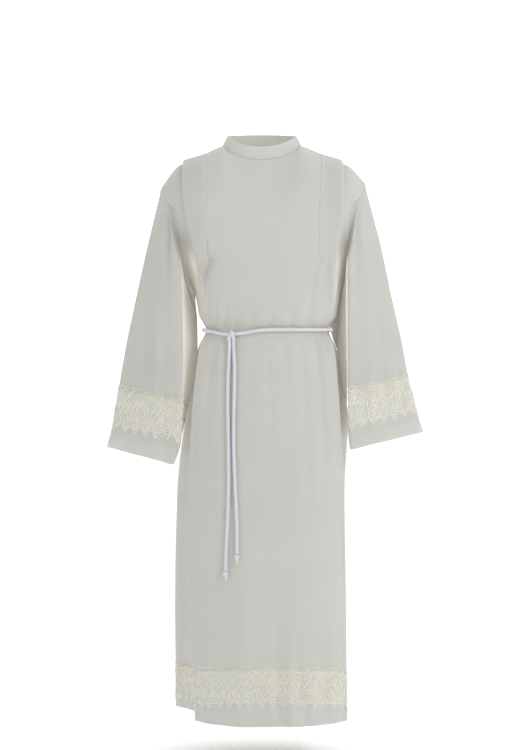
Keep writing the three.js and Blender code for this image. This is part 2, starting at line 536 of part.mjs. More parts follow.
// Tails: they leave the knot downwards and lie along the skirt.
const TAILS = { a: { dx: -5.4, length: 545 }, b: { dx: 5.4, length: 505 } };
for (const [key, tail] of Object.entries(TAILS)) {
  const pts = [], top = KNOT.z - 15.5, n = 12;
  let x = KNOT.x + tail.dx;
  for (let i = 0; i <= n; i += 1) {
    const z = top - (tail.length * i) / n, v = i / n;
    const swing = (key === 'a' ? -1 : 1) * (3 * v + 2.4 * Math.sin(v * 7.5 + (key === 'a' ? 0 : 1.1)));
    x = KNOT.x + tail.dx * (1 + 0.5 * v) + swing;
    const skin = skirtDepth(x, z);
    pts.push(V(x, Math.min(i === 0 ? knotY - 3 : 1e9, skin - CORD.tailRadius - WALL / 2 - 2.6), z));
  }
  addMesh(`cincture_tail_${key}`, tube(pts, CORD.tailRadius, CORD.sides, false), ROPE, 0.7);
  const end = pts[n];
  const g = new THREE.SphereGeometry(1, 10, 8);
  g.deleteAttribute('normal'); g.deleteAttribute('uv');
  g.scale(8, 7, 11);
  g.translate(end.x, end.y - 3.2, end.z - 11.6);
  addMesh(`cincture_end_${key}`, g, ROPE, 0.7);
}
// Depth of the front's middle surface at x, between the centre and the left crease.
function skirtDepth(x, z) {
  const names = ['c', 'm1', 'm2', 'n', 's', 'se', 'e1'];
  let best = 0;
  for (let i = 0; i < names.length - 1; i += 1) {
    const a = columnPoint('left', 'front', names[i], 0, z), b = columnPoint('left', 'front', names[i + 1], 0, z);
    if (x <= a.x && x >= b.x) best = lerp(a.y, b.y, (x - a.x) / (b.x - a.x));
  }
  return best;
}

export default group;
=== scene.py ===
import bpy
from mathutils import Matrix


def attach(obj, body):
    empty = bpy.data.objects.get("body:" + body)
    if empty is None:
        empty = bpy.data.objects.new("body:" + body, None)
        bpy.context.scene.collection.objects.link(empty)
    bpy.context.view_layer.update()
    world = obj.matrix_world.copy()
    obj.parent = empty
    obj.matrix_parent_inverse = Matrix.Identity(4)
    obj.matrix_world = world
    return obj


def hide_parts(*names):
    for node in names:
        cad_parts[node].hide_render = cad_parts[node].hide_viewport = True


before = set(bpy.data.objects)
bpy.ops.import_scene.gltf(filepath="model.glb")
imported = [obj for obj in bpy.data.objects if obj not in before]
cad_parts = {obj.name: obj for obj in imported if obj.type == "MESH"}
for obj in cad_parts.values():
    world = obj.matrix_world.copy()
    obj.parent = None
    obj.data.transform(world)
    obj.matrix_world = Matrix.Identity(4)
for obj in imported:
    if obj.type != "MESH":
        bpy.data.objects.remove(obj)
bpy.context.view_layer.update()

import bpy, math, random
import numpy as np
from mathutils import Vector

MM = 0.001
scene = bpy.context.scene

# ------------------------------------------------------------------ camera
CAM_Z, CAM_Y, F_PX = -480.0, -4500.0, 1875.0
cam_data = bpy.data.cameras.new("camera")
cam_data.sensor_width = 36.0
cam_data.lens = F_PX / 750.0 * 36.0
cam_data.clip_end = 50.0
cam = bpy.data.objects.new("camera", cam_data)
scene.collection.objects.link(cam)
cam.location = (-6 * MM, CAM_Y * MM, CAM_Z * MM)
cam.rotation_euler = (math.radians(90) - math.atan2(25.0, F_PX), 0.0, 0.0)
scene.camera = cam
scene.view_settings.view_transform = "Standard"
scene.view_settings.look = "None"


def px(x, y, depth=-110.0):
    """A place on the front of the garment, as X, Z in mm at the given depth."""
    k = (depth - CAM_Y) / F_PX
    return ((x - 260.5) * k - 6.0, CAM_Z - (y - 350.0) * k)


# ------------------------------------------------------------------ sizes, as in the CAD source
UNDERARM_Z, HEM_Z, WAIST_Z = -343.0, -1357.0, -432.0
PLEAT_LAYER = 4.6
NECK = dict(x=-3.5, y=2.0, half=93.5, front=72.0, back=70.0, zf=-31.5, zs=8.0, zb=14.0)
COLLAR = dict(height=31.0, lean=13.0, overlap=0.30, close=1.18)
SHOULDER = {
    "left": dict(tip_x=243, tip_z=-90, stitch_x=138, stitch_z=-9, edge_x=191, edge_z=-25),
    "right": dict(tip_x=243, tip_z=-78, stitch_x=138, stitch_z=-9, edge_x=190, edge_z=-25),
}
SHOULDER_Y, ROUNDING = 5.0, 0.34
KNOT = dict(x=-74.0, z=-446.0)
COLS = ["z", "ex", "ey", "ux", "uy", "gx", "gy", "hx", "hy", "ax", "ay"]
FRONT_LEFT = [
    [0, 191, -84, 142, -92, 185, -70, 204, -62, 243, -33],
    [-34, 190, -86, 142, -93, 184, -71, 203, -62, 220, -36],
    [-69, 189, -88, 142, -94, 182, -72, 198, -62, 206, -48],
    [-137, 184.5, -92, 143, -95, 178, -72, 192, -62, 199, -51],
    [-206, 171, -94, 144, -94, 167, -68, 184, -52, 197, -38],
    [-274, 156, -90, 140, -86, 156, -62, 172, -38, 185, -13],
    [-343, 150, -84, 138, -74, 151, -52, 160, -22, 164, 6],
    [-395, 146, -74, 136, -64, 148, -42, 153, -18, 151, 8],
    [-432, 131, -62, 122, -55, 131, -36, 136, -12, 134, 10],
    [-470, 148, -66, 134, -50, 146, -30, 153, -6, 151, 16],
    [-520, 157, -70, 138, -44, 152, -18, 165, 18, 163, 36],
    [-640, 169, -72, 142, -28, 166, 12, 187, 58, 186, 80],
    [-820, 178, -74, 144, -12, 180, 40, 208, 84, 208, 108],
    [-1100, 174, -74, 140, 0, 184, 60, 215, 104, 214, 128],
    [-1357, 160, -72, 134, 8, 182, 72, 213, 112, 211, 136],
]
FRONT_RIGHT = [
    [0, 190, -84, 142, -92, 184, -70, 205, -62, 243, -33],
    [-34, 190, -86, 142, -93, 184, -71, 204, -62, 222, -36],
    [-69, 190, -88, 142, -94, 183, -72, 201, -62, 208, -48],
    [-137, 189, -92, 143, -95, 182, -72, 196, -62, 203, -51],
    [-206, 180, -94, 146, -94, 176, -68, 191, -52, 202, -38],
    [-274, 171, -90, 150, -86, 171, -62, 186, -38, 198, -13],
    [-343, 166, -84, 152, -74, 171, -52, 182, -22, 187, 6],
    [-395, 163, -74, 153, -64, 167, -42, 176, -18, 175, 8],
    [-432, 149, -62, 142, -55, 152, -36, 157, -12, 155, 10],
    [-470, 166, -66, 152, -50, 164, -30, 172, -6, 170, 16],
    [-520, 173, -70, 155, -44, 172, -18, 190, 18, 188, 36],
    [-640, 182, -72, 158, -28, 184, 12, 207, 58, 206, 80],
    [-820, 191, -74, 162, -14, 184, 36, 199, 84, 199, 110],
    [-1100, 196, -74, 164, -4, 188, 52, 202, 100, 200, 128],
    [-1357, 198, -72, 166, 2, 190, 60, 204, 108, 201, 136],
]
BACK_LEFT = [
    [0, 191, 84, 142, 92, 185, 72, 204, 64, 243, 40],
    [-34, 190, 86, 142, 93, 184, 73, 203, 65, 222, 44],
    [-69, 189, 88, 142, 94, 183, 75, 200, 66, 210, 56],
    [-137, 185, 92, 143, 96, 179, 77, 193, 69, 203, 70],
    [-206, 174, 94, 145, 97, 170, 76, 187, 66, 199, 62],
    [-274, 162, 92, 144, 90, 162, 72, 176, 54, 190, 40],
    [-343, 152, 86, 140, 80, 153, 62, 162, 32, 164, 6],
    [-395, 148, 78, 138, 70, 148, 54, 153, 32, 151, 8],
    [-432, 130, 66, 121, 60, 131, 44, 136, 27, 134, 10],
    [-470, 144, 74, 130, 62, 145, 52, 152, 36, 151, 16],
    [-520, 150, 92, 132, 76, 152, 70, 164, 54, 163, 36],
    [-640, 162, 118, 138, 98, 164, 104, 184, 98, 186, 80],
    [-820, 172, 140, 144, 116, 176, 128, 202, 128, 208, 108],
    [-1100, 172, 158, 142, 132, 180, 146, 206, 148, 214, 128],
    [-1357, 170, 170, 140, 142, 178, 154, 204, 158, 211, 136],
]
BACK_RIGHT = [
    [0, 190, 84, 142, 92, 184, 72, 205, 64, 243, 40],
    [-34, 190, 86, 142, 93, 184, 73, 204, 65, 222, 44],
    [-69, 190, 88, 142, 94, 183, 75, 203, 66, 212, 56],
    [-137, 188, 92, 143, 96, 182, 77, 198, 69, 207, 70],
    [-206, 182, 94, 147, 97, 178, 76, 194, 66, 204, 62],
    [-274, 174, 92, 150, 90, 174, 72, 188, 54, 200, 40],
    [-343, 168, 86, 154, 80, 172, 62, 183, 32, 187, 6],
    [-395, 165, 78, 155, 70, 168, 54, 175, 32, 175, 8],
    [-432, 148, 66, 140, 60, 151, 44, 157, 27, 155, 10],
    [-470, 162, 74, 150, 62, 164, 52, 171, 36, 170, 16],
    [-520, 168, 92, 150, 76, 172, 70, 186, 54, 188, 36],
    [-640, 174, 118, 152, 98, 180, 104, 202, 98, 206, 80],
    [-820, 178, 140, 152, 116, 178, 128, 194, 128, 199, 110],
    [-1100, 182, 158, 154, 132, 182, 146, 196, 148, 200, 128],
    [-1357, 184, 170, 156, 142, 184, 154, 196, 158, 201, 136],
]
CENTRE = [
    [0, -3, -100, 96], [-69, 0, -106, 101], [-137, 2, -114, 108], [-206, 4, -119, 112],
    [-274, 6, -119, 110], [-343, 8, -117, 106], [-395, 10, -120, 109], [-432, 11, -106, 94],
    [-470, 11, -110, 99], [-520, 11, -114, 108], [-640, 12, -124, 130], [-820, 12, -134, 152],
    [-1100, 12, -144, 174], [-1357, 12, -151, 188],
]
SLEEVE = {
    "left": [
        [0.25, 280, -2, -246, 200, -73, -272, 158, 4, -408, 205, 70, -286],
        [0.45, 307, -5, -370, 195, -74, -396, 157, -5, -482, 206, 54, -408],
        [0.62, 329, -7, -476, 193, -73, -502, 165, -10, -552, 214, 46, -512],
        [0.764, 344, -8, -563, 193, -71, -592, 179, -12, -612, 226, 43, -598],
        [0.929, 362, -9, -668, 196, -67, -698, 195, -14, -676, 240, 42, -702],
        [1.00, 373, -10, -712, 213, -61, -750, 204, -16, -714, 250, 40, -748],
    ],
    "right": [
        [0.25, 283, -2, -232, 202, -73, -258, 180, 8, -404, 209, 70, -272],
        [0.45, 308, -5, -352, 202, -74, -378, 178, -2, -470, 213, 52, -390],
        [0.62, 331, -7, -454, 202, -73, -480, 186, -8, -534, 224, 46, -490],
        [0.764, 347, -8, -538, 202, -71, -566, 195, -12, -590, 236, 43, -574],
        [0.929, 370, -9, -632, 203, -66, -668, 204, -16, -650, 250, 42, -670],
        [1.00, 383, -10, -676, 208, -60, -715, 211, -18, -690, 258, 40, -708],
    ],
}
TUCK = dict(w4=(6, 40), w3=(-25, 66), w2=(-35, 62), w1=(-15, 32), start=0.42, end=0.70)
TABLES = {("front", "left"): FRONT_LEFT, ("front", "right"): FRONT_RIGHT,
          ("back", "left"): BACK_LEFT, ("back", "right"): BACK_RIGHT}


# ------------------------------------------------------------------ helpers
def lerp(a, b, t):
    return a + (b - a) * t


def clamp01(t):
    return max(0.0, min(1.0, t))


def smooth(t):
    c = clamp01(t)
    return c * c * (3 - 2 * c)


def smooth_line(x, a, b):
    q = np.clip((x - a) / (b - a), 0, 1)
    return q * q * (3 - 2 * q)


_prepared = {}


def sample(rows, key):
    """Monotone cubic interpolation of every column against the first."""
    ident = id(rows)
    if ident not in _prepared:
        A = np.array(rows, float)
        X = A[:, 0].copy()
        if X[-1] < X[0]:
            X = -X
            sgn = -1.0
        else:
            sgn = 1.0
        h = np.diff(X)[:, None]
        S = np.diff(A, axis=0) / h
        T = np.zeros_like(A)
        T[0], T[-1] = S[0], S[-1]
        a, b = S[:-1], S[1:]
        with np.errstate(divide="ignore", invalid="ignore"):
            m = 2 * a * b / (a + b)
        T[1:-1] = np.where(a * b <= 0, 0.0, m)
        _prepared[ident] = (A, X, T, sgn)
    A, X, T, sgn = _prepared[ident]
    k = key * sgn
    if k <= X[0]:
        return A[0].copy()
    if k >= X[-1]:
        return A[-1].copy()
    i = int(np.searchsorted(X, k) - 1)
    i = max(0, min(len(X) - 2, i))
    h = X[i + 1] - X[i]
    t = (k - X[i]) / h
    t2, t3 = t * t, t * t * t
    return ((2 * t3 - 3 * t2 + 1) * A[i] + (t3 - 2 * t2 + t) * h * T[i]
            + (-2 * t3 + 3 * t2) * A[i + 1] + (t3 - t2) * h * T[i + 1])


# ------------------------------------------------------------------ front and back
HALF = ["c", "m1", "m2", "n", "s", "se", "e1", "e0", "e2", "eu", "u1", "u0", "u2", "ug", "g", "h", "a"]
ARC = {"c": 0, "m1": 0.17, "m2": 0.34, "n": 0.51, "s": 0.74, "se": 0.87}


def half_section(side, panel, level):
    r = dict(zip(COLS, sample(TABLES[(panel, side)], level)))
    c = sample(CENTRE, level)
    sign = -1 if side == "left" else 1
    out = -1 if panel == "front" else 1
    cx, cy = c[1] * sign, (c[2] if panel == "front" else c[3])
    low = clamp01((UNDERARM_Z - level) / (UNDERARM_Z - HEM_Z))
    power = lerp(2.5, 3.4, low)
    p = {}
    share = dict(ARC)
    held = 1 - smooth((-level - 250) / 150)
    line = lerp(138.0, 131.5, smooth(-level / 150))
    share["s"] = lerp(ARC["s"], (line - cx) / (r["ex"] - cx), held)
    share["se"] = lerp(ARC["se"], (share["s"] + 1) / 2, held)
    for name, f in share.items():
        p[name] = np.array([lerp(cx, r["ex"], f), lerp(cy, r["ey"], f ** power)])
    if panel == "back":
        amp = 15 * smooth((WAIST_Z - 20 - level) / 620)
        for name, f in ARC.items():
            p[name][1] -= amp * (0.5 - 0.5 * math.cos(f * 2 * math.pi / 0.68)) * (1 if side == "left" else 0.8)
    pleat = 1 - smooth((UNDERARM_Z + 40 - level) / 100)
    turn, layer = lerp(9, 3, pleat), PLEAT_LAYER * max(pleat, 0.35) * 0.5

    def way(a, b):
        d = b - a
        return d / (np.hypot(*d) or 1)
    e, u, g = np.array([r["ex"], r["ey"]]), np.array([r["ux"], r["uy"]]), np.array([r["gx"], r["gy"]])
    e_in, eu, ug = way(e, p["s"]), way(e, u), way(u, g)
    p["e1"] = e + e_in * turn + np.array([0, out * layer * pleat])
    p["e0"] = e
    p["e2"] = e + eu * turn - np.array([0, out * layer])
    p["u1"] = u - eu * turn + np.array([0, out * layer * 0.5])
    p["u0"] = u - np.array([0, out * layer])
    p["u2"] = u + ug * turn - np.array([0, out * layer * 1.5])
    p["eu"] = (p["e2"] + p["u1"]) / 2
    p["g"] = g
    p["ug"] = (p["u2"] + g) / 2 + np.array([0, out * lerp(3, -1, pleat)])
    p["h"] = np.array([r["hx"], r["hy"]])
    p["a"] = np.array([r["ax"], r["ay"]])
    return p


NECK_ARC = {"c": 0, "m1": 0.34, "m2": 0.67, "n": 1}
UNDER = {"u1", "u0", "u2", "ug", "g", "h", "a"}


def top_point(side, panel, name, xy):
    s, sign = SHOULDER[side], (-1 if side == "left" else 1)
    if name in NECK_ARC:
        al = NECK_ARC[name] * math.pi / 2
        depth = -NECK["front"] if panel == "front" else NECK["back"]
        zc = NECK["zf"] if panel == "front" else NECK["zb"]
        return (NECK["x"] * sign + NECK["half"] * math.sin(al), NECK["y"] + depth * math.cos(al),
                lerp(NECK["zs"], zc, max(0.0, math.cos(al)) ** 1.4))
    neck_x = NECK["x"] * sign + NECK["half"]
    x = s["stitch_x"] if name == "s" else xy[0]
    if x <= s["stitch_x"]:
        z = lerp(NECK["zs"], s["stitch_z"], (x - neck_x) / (s["stitch_x"] - neck_x))
    elif x <= s["edge_x"]:
        z = lerp(s["stitch_z"], s["edge_z"], (x - s["stitch_x"]) / (s["edge_x"] - s["stitch_x"]))
    else:
        f = (x - s["edge_x"]) / (s["tip_x"] - s["edge_x"])
        z = lerp(s["edge_z"] - 8, s["tip_z"], 0.42 * f + 0.58 * f ** 3)
    if name in UNDER and x <= s["edge_x"]:
        z -= lerp(1.2, 2.3, clamp01((x - s["stitch_x"]) / 50)) * PLEAT_LAYER * 0.9
    if name in ("e2", "eu", "e0"):
        z -= (0.5 if name == "e0" else 1) * PLEAT_LAYER
    if name == "u1":
        z += PLEAT_LAYER * 0.4
    return (x, SHOULDER_Y, z)


SLOW = {"c": (0.55, 1.3), "m1": (0.5, 1.2), "m2": (0.41, 1.06)}


def level_points(panel, side, level):
    """Named points of half a panel at a level, in order from the centre line out."""
    sign = -1 if side == "left" else 1
    half = half_section(side, panel, level)
    out = []
    if level < UNDERARM_Z:
        for n in HALF:
            out.append((half[n][0] * sign, half[n][1], level))
        return out
    t = level / UNDERARM_Z
    first = half_section(side, panel, 0)
    for n in HALF:
        top = top_point(side, panel, n, first[n])
        z = lerp(top[2], UNDERARM_Z, t)
        span, power = SLOW.get(n, (ROUNDING, 1))
        q = clamp01(t / span)
        y = lerp(top[1], half[n][1], math.sqrt(1 - (1 - q) ** 2) ** power)
        x = lerp(top[0], half[n][0], smooth(t / 0.3))
        out.append((x * sign, y, z))
    return out


def spline(points, counts):
    """Centripetal Catmull-Rom through points, counts[i] steps in span i.
    A list in place of a count gives the shares at which the span is cut."""
    P = np.array(points, float)
    P = np.vstack([2 * P[0] - P[1], P, 2 * P[-1] - P[-2]])
    out = []
    for i in range(1, len(P) - 2):
        p0, p1, p2, p3 = P[i - 1], P[i], P[i + 1], P[i + 2]
        d = [max(np.linalg.norm(b - a), 1e-6) ** 0.5 for a, b in ((p0, p1), (p1, p2), (p2, p3))]
        t0, t1 = 0.0, d[0]
        t2 = t1 + d[1]
        t3 = t2 + d[2]
        n = counts[i - 1]
        ts = (t1 + (t2 - t1) * np.array(list(n) + [1.0]))[:, None] if isinstance(n, (list, tuple)) else np.linspace(t1, t2, n + 1)[:, None]
        if i != len(P) - 3:
            ts = ts[:-1]
        a1 = (t1 - ts) / (t1 - t0) * p0 + (ts - t0) / (t1 - t0) * p1
        a2 = (t2 - ts) / (t2 - t1) * p1 + (ts - t1) / (t2 - t1) * p2
        a3 = (t3 - ts) / (t3 - t2) * p2 + (ts - t2) / (t3 - t2) * p3
        b1 = (t2 - ts) / (t2 - t0) * a1 + (ts - t0) / (t2 - t0) * a2
        b2 = (t3 - ts) / (t3 - t1) * a2 + (ts - t1) / (t3 - t1) * a3
        out.append((t2 - ts) / (t2 - t1) * b1 + (ts - t1) / (t2 - t1) * b2)
    return np.vstack(out)


NEAR_END = [0, 0.16, 0.32, 0.47, 0.61, 0.73, 0.83, 0.90, 0.945, 0.972, 0.988]
NEAR_START = [0, 0.02, 0.045, 0.09, 0.16, 0.28, 0.45, 0.70]
HALF_STEPS = [6, 6, 6, NEAR_END, NEAR_START, 5, 3, 3, 5, 5, 3, 3, 4, 4, 7, 7]


def turned(steps):
    """The same steps for a row that runs the other way."""
    out = []
    for k in steps[::-1]:
        out.append([0] + [1 - q for q in k[:0:-1]] if isinstance(k, list) else k)
    return out


def lace_line(edge, panel, f):
    w = min(1.0, f / 0.5)
    dip = (30 if panel == "front" else 22) * w * w
    return (-1215 if edge == "top" else -1312) - dip


# Column parameter: distance from the centre line as a share of the named columns.
def column_share():
    share = []
    n = len(HALF) - 1
    for i, k in enumerate(HALF_STEPS):
        share += [(i + q) / n for q in (k if isinstance(k, list) else [j / k for j in range(k)])]
    share.append(1.0)
    return np.array(share)


def panel_grid(panel, levels):
    rows = []
    for lv in levels:
        L, R = level_points(panel, "left", lv), level_points(panel, "right", lv)
        pts = L[::-1] + R[1:]
        rows.append(spline(pts, turned(HALF_STEPS) + HALF_STEPS))
    return np.array(rows)


def grid_normals(G, wrap=False):
    if wrap:
        du = np.roll(G, -1, axis=1) - np.roll(G, 1, axis=1)
    else:
        du = np.gradient(G, axis=1)
    dv = np.gradient(G, axis=0)
    N = np.cross(du, dv)
    ln = np.linalg.norm(N, axis=2, keepdims=True)
    N = N / np.maximum(ln, 1e-9)
    return N


def smooth_grid(A, times, wrap=False):
    for _ in range(times):
        B = A.copy()
        if wrap:
            B += np.roll(A, 1, axis=1) + np.roll(A, -1, axis=1)
            B[1:-1] += A[:-2] + A[2:]
            w = np.full(A.shape[:2] + (1,), 3.0)
            w[1:-1] += 2
        else:
            w = np.ones(A.shape[:2] + (1,))
            B[:, 1:] += A[:, :-1]; w[:, 1:] += 1
            B[:, :-1] += A[:, 1:]; w[:, :-1] += 1
            B[1:] += A[:-1]; w[1:] += 1
            B[:-1] += A[1:]; w[:-1] += 1
        A = B / w
    return A


def shell(name, G, thick, material, wrap=False, uv=None, normals=None, lift=0.0, orient=None):
    """Closed thin shell on a grid of points in mm. thick may be a grid of wall sizes."""
    R, C = G.shape[:2]
    N = normals if normals is not None else smooth_grid(grid_normals(G, wrap), 1, wrap)
    N = N / np.maximum(np.linalg.norm(N, axis=2, keepdims=True), 1e-9)
    if orient is not None and orient(G, N):
        N = -N
    T = np.broadcast_to(np.asarray(thick, float), (R, C))[..., None]
    up = np.broadcast_to(np.asarray(lift, float), (R, C))[..., None]
    outer = G + N * (up + T / 2)
    inner = G + N * (up - T / 2)
    verts = np.vstack([outer.reshape(-1, 3), inner.reshape(-1, 3)]) * MM
    n = R * C
    cols = C if wrap else C - 1
    r, c = np.meshgrid(np.arange(R - 1), np.arange(cols), indexing="ij")
    c2 = (c + 1) % C
    a, b, d, e = r * C + c, (r + 1) * C + c, (r + 1) * C + c2, r * C + c2
    top = np.stack([a, b, d, e], -1).reshape(-1, 4)
    bot = np.stack([a, e, d, b], -1).reshape(-1, 4) + n
    faces = [top, bot]
    cc = np.arange(cols)
    c2 = (cc + 1) % C
    faces.append(np.stack([cc, c2, c2 + n, cc + n], -1))
    k = (R - 1) * C
    faces.append(np.stack([k + c2, k + cc, k + cc + n, k + c2 + n], -1))
    if not wrap:
        rr = np.arange(R - 1)
        faces.append(np.stack([(rr + 1) * C, rr * C, rr * C + n, (rr + 1) * C + n], -1))
        faces.append(np.stack([rr * C + C - 1, (rr + 1) * C + C - 1, (rr + 1) * C + C - 1 + n, rr * C + C - 1 + n], -1))
    F = np.vstack(faces)
    # faces must look out: test one quad of the outer skin against its normal
    q = F[len(top) // 2]
    nn = np.cross(verts[q[1]] - verts[q[0]], verts[q[2]] - verts[q[0]])
    ref = N.reshape(-1, 3)[q[0] % n]
    if nn.dot(ref) < 0:
        F = F[:, ::-1]
    me = bpy.data.meshes.new(name)
    me.from_pydata(verts.tolist(), [], F.tolist())
    if uv is None:
        du = np.zeros((R, C)); du[:, 1:] = np.cumsum(np.linalg.norm(np.diff(G, axis=1), axis=2), axis=1)
        dv = np.zeros((R, C)); dv[1:] = np.cumsum(np.linalg.norm(np.diff(G, axis=0), axis=2), axis=0)
        u0 = du.mean(axis=0)
        uv = np.stack([np.broadcast_to(u0, (R, C)), np.broadcast_to(dv.mean(axis=1)[:, None], (R, C))], -1) * MM
    flat = np.vstack([uv.reshape(-1, 2), uv.reshape(-1, 2)])
    layer = me.uv_layers.new(name="UVMap")
    idx = np.zeros(len(me.loops), dtype=np.int32)
    me.loops.foreach_get("vertex_index", idx)
    layer.data.foreach_set("uv", flat[idx].astype(np.float32).ravel())
    me.polygons.foreach_set("use_smooth", [True] * len(me.polygons))
    me.materials.append(material)
    me.update()
    me.set_sharp_from_angle(angle=math.radians(55))
    ob = bpy.data.objects.new(name, me)
    scene.collection.objects.link(ob)
    return ob, outer, N


# ------------------------------------------------------------------ materials
def new_material(name):
    m = bpy.data.materials.new(name)
    m.use_nodes = True
    nt = m.node_tree
    b = nt.nodes["Principled BSDF"]
    return m, nt, b


def link(nt, a, b):
    nt.links.new(a, b)


def see_through(nt, b, share, colour):
    """Light passes through thin cloth: part of what falls on a face goes on into it."""
    tr = nt.nodes.new("ShaderNodeBsdfTranslucent"); tr.inputs["Color"].default_value = colour
    mx = nt.nodes.new("ShaderNodeMixShader"); mx.inputs[0].default_value = share
    out = nt.nodes["Material Output"]
    link(nt, b.outputs[0], mx.inputs[1]); link(nt, tr.outputs[0], mx.inputs[2])
    link(nt, mx.outputs[0], out.inputs["Surface"])


def cloth_material(name, share, passed):
    """share is how much of the light goes on through the cloth, passed its colour."""
    m, nt, b = new_material(name)
    nd = nt.nodes
    tc = nd.new("ShaderNodeTexCoord")
    # soft unevenness of the dyed cloth
    n1 = nd.new("ShaderNodeTexNoise"); n1.inputs["Scale"].default_value = 9.0; n1.inputs["Detail"].default_value = 3.0
    link(nt, tc.outputs["Object"], n1.inputs["Vector"])
    ramp = nd.new("ShaderNodeValToRGB")
    ramp.color_ramp.elements[0].position = 0.3; ramp.color_ramp.elements[0].color = (0.664, 0.655, 0.622, 1)
    ramp.color_ramp.elements[1].position = 0.7; ramp.color_ramp.elements[1].color = (0.694, 0.685, 0.654, 1)
    link(nt, n1.outputs["Fac"], ramp.inputs["Fac"])
    link(nt, ramp.outputs["Color"], b.inputs["Base Color"])
    # plain weave: two crossed thread directions
    sep = nd.new("ShaderNodeSeparateXYZ"); link(nt, tc.outputs["UV"], sep.inputs["Vector"])
    waves = []
    for axis in ("X", "Y"):
        mul = nd.new("ShaderNodeMath"); mul.operation = "MULTIPLY"; mul.inputs[1].default_value = 2 * math.pi / 0.0009
        link(nt, sep.outputs[axis], mul.inputs[0])
        sn = nd.new("ShaderNodeMath"); sn.operation = "SINE"; link(nt, mul.outputs[0], sn.inputs[0])
        waves.append(sn)
    weave = nd.new("ShaderNodeMath"); weave.operation = "MULTIPLY"
    link(nt, waves[0].outputs[0], weave.inputs[0]); link(nt, waves[1].outputs[0], weave.inputs[1])
    n2 = nd.new("ShaderNodeTexNoise"); n2.inputs["Scale"].default_value = 420.0; n2.inputs["Detail"].default_value = 2.0
    link(nt, tc.outputs["Object"], n2.inputs["Vector"])
    add = nd.new("ShaderNodeMath"); add.operation = "ADD"
    link(nt, weave.outputs[0], add.inputs[0]); link(nt, n2.outputs["Fac"], add.inputs[1])
    bump = nd.new("ShaderNodeBump"); bump.inputs["Strength"].default_value = 0.12; bump.inputs["Distance"].default_value = 0.0003
    link(nt, add.outputs[0], bump.inputs["Height"])
    link(nt, bump.outputs["Normal"], b.inputs["Normal"])
    rr = nd.new("ShaderNodeMapRange"); rr.inputs["To Min"].default_value = 0.72; rr.inputs["To Max"].default_value = 0.86
    link(nt, n1.outputs["Fac"], rr.inputs["Value"]); link(nt, rr.outputs["Result"], b.inputs["Roughness"])
    b.inputs["Sheen Weight"].default_value = 0.10
    b.inputs["Specular IOR Level"].default_value = 0.25
    see_through(nt, b, share, passed)
    return m


def lace_material():
    m, nt, b = new_material("lace")
    nd = nt.nodes
    tc = nd.new("ShaderNodeTexCoord")
    n1 = nd.new("ShaderNodeTexNoise"); n1.inputs["Scale"].default_value = 60.0; n1.inputs["Detail"].default_value = 4.0
    link(nt, tc.outputs["Object"], n1.inputs["Vector"])
    ramp = nd.new("ShaderNodeValToRGB")
    ramp.color_ramp.elements[0].position = 0.3; ramp.color_ramp.elements[0].color = (0.87, 0.86, 0.785, 1)
    ramp.color_ramp.elements[1].position = 0.75; ramp.color_ramp.elements[1].color = (0.90, 0.895, 0.84, 1)
    link(nt, n1.outputs["Fac"], ramp.inputs["Fac"])
    link(nt, ramp.outputs["Color"], b.inputs["Base Color"])
    n2 = nd.new("ShaderNodeTexNoise"); n2.inputs["Scale"].default_value = 900.0
    link(nt, tc.outputs["Object"], n2.inputs["Vector"])
    bump = nd.new("ShaderNodeBump"); bump.inputs["Strength"].default_value = 0.3; bump.inputs["Distance"].default_value = 0.0004
    link(nt, n2.outputs["Fac"], bump.inputs["Height"]); link(nt, bump.outputs["Normal"], b.inputs["Normal"])
    b.inputs["Roughness"].default_value = 0.7
    see_through(nt, b, 0.16, (0.985, 0.97, 0.88, 1))
    return m


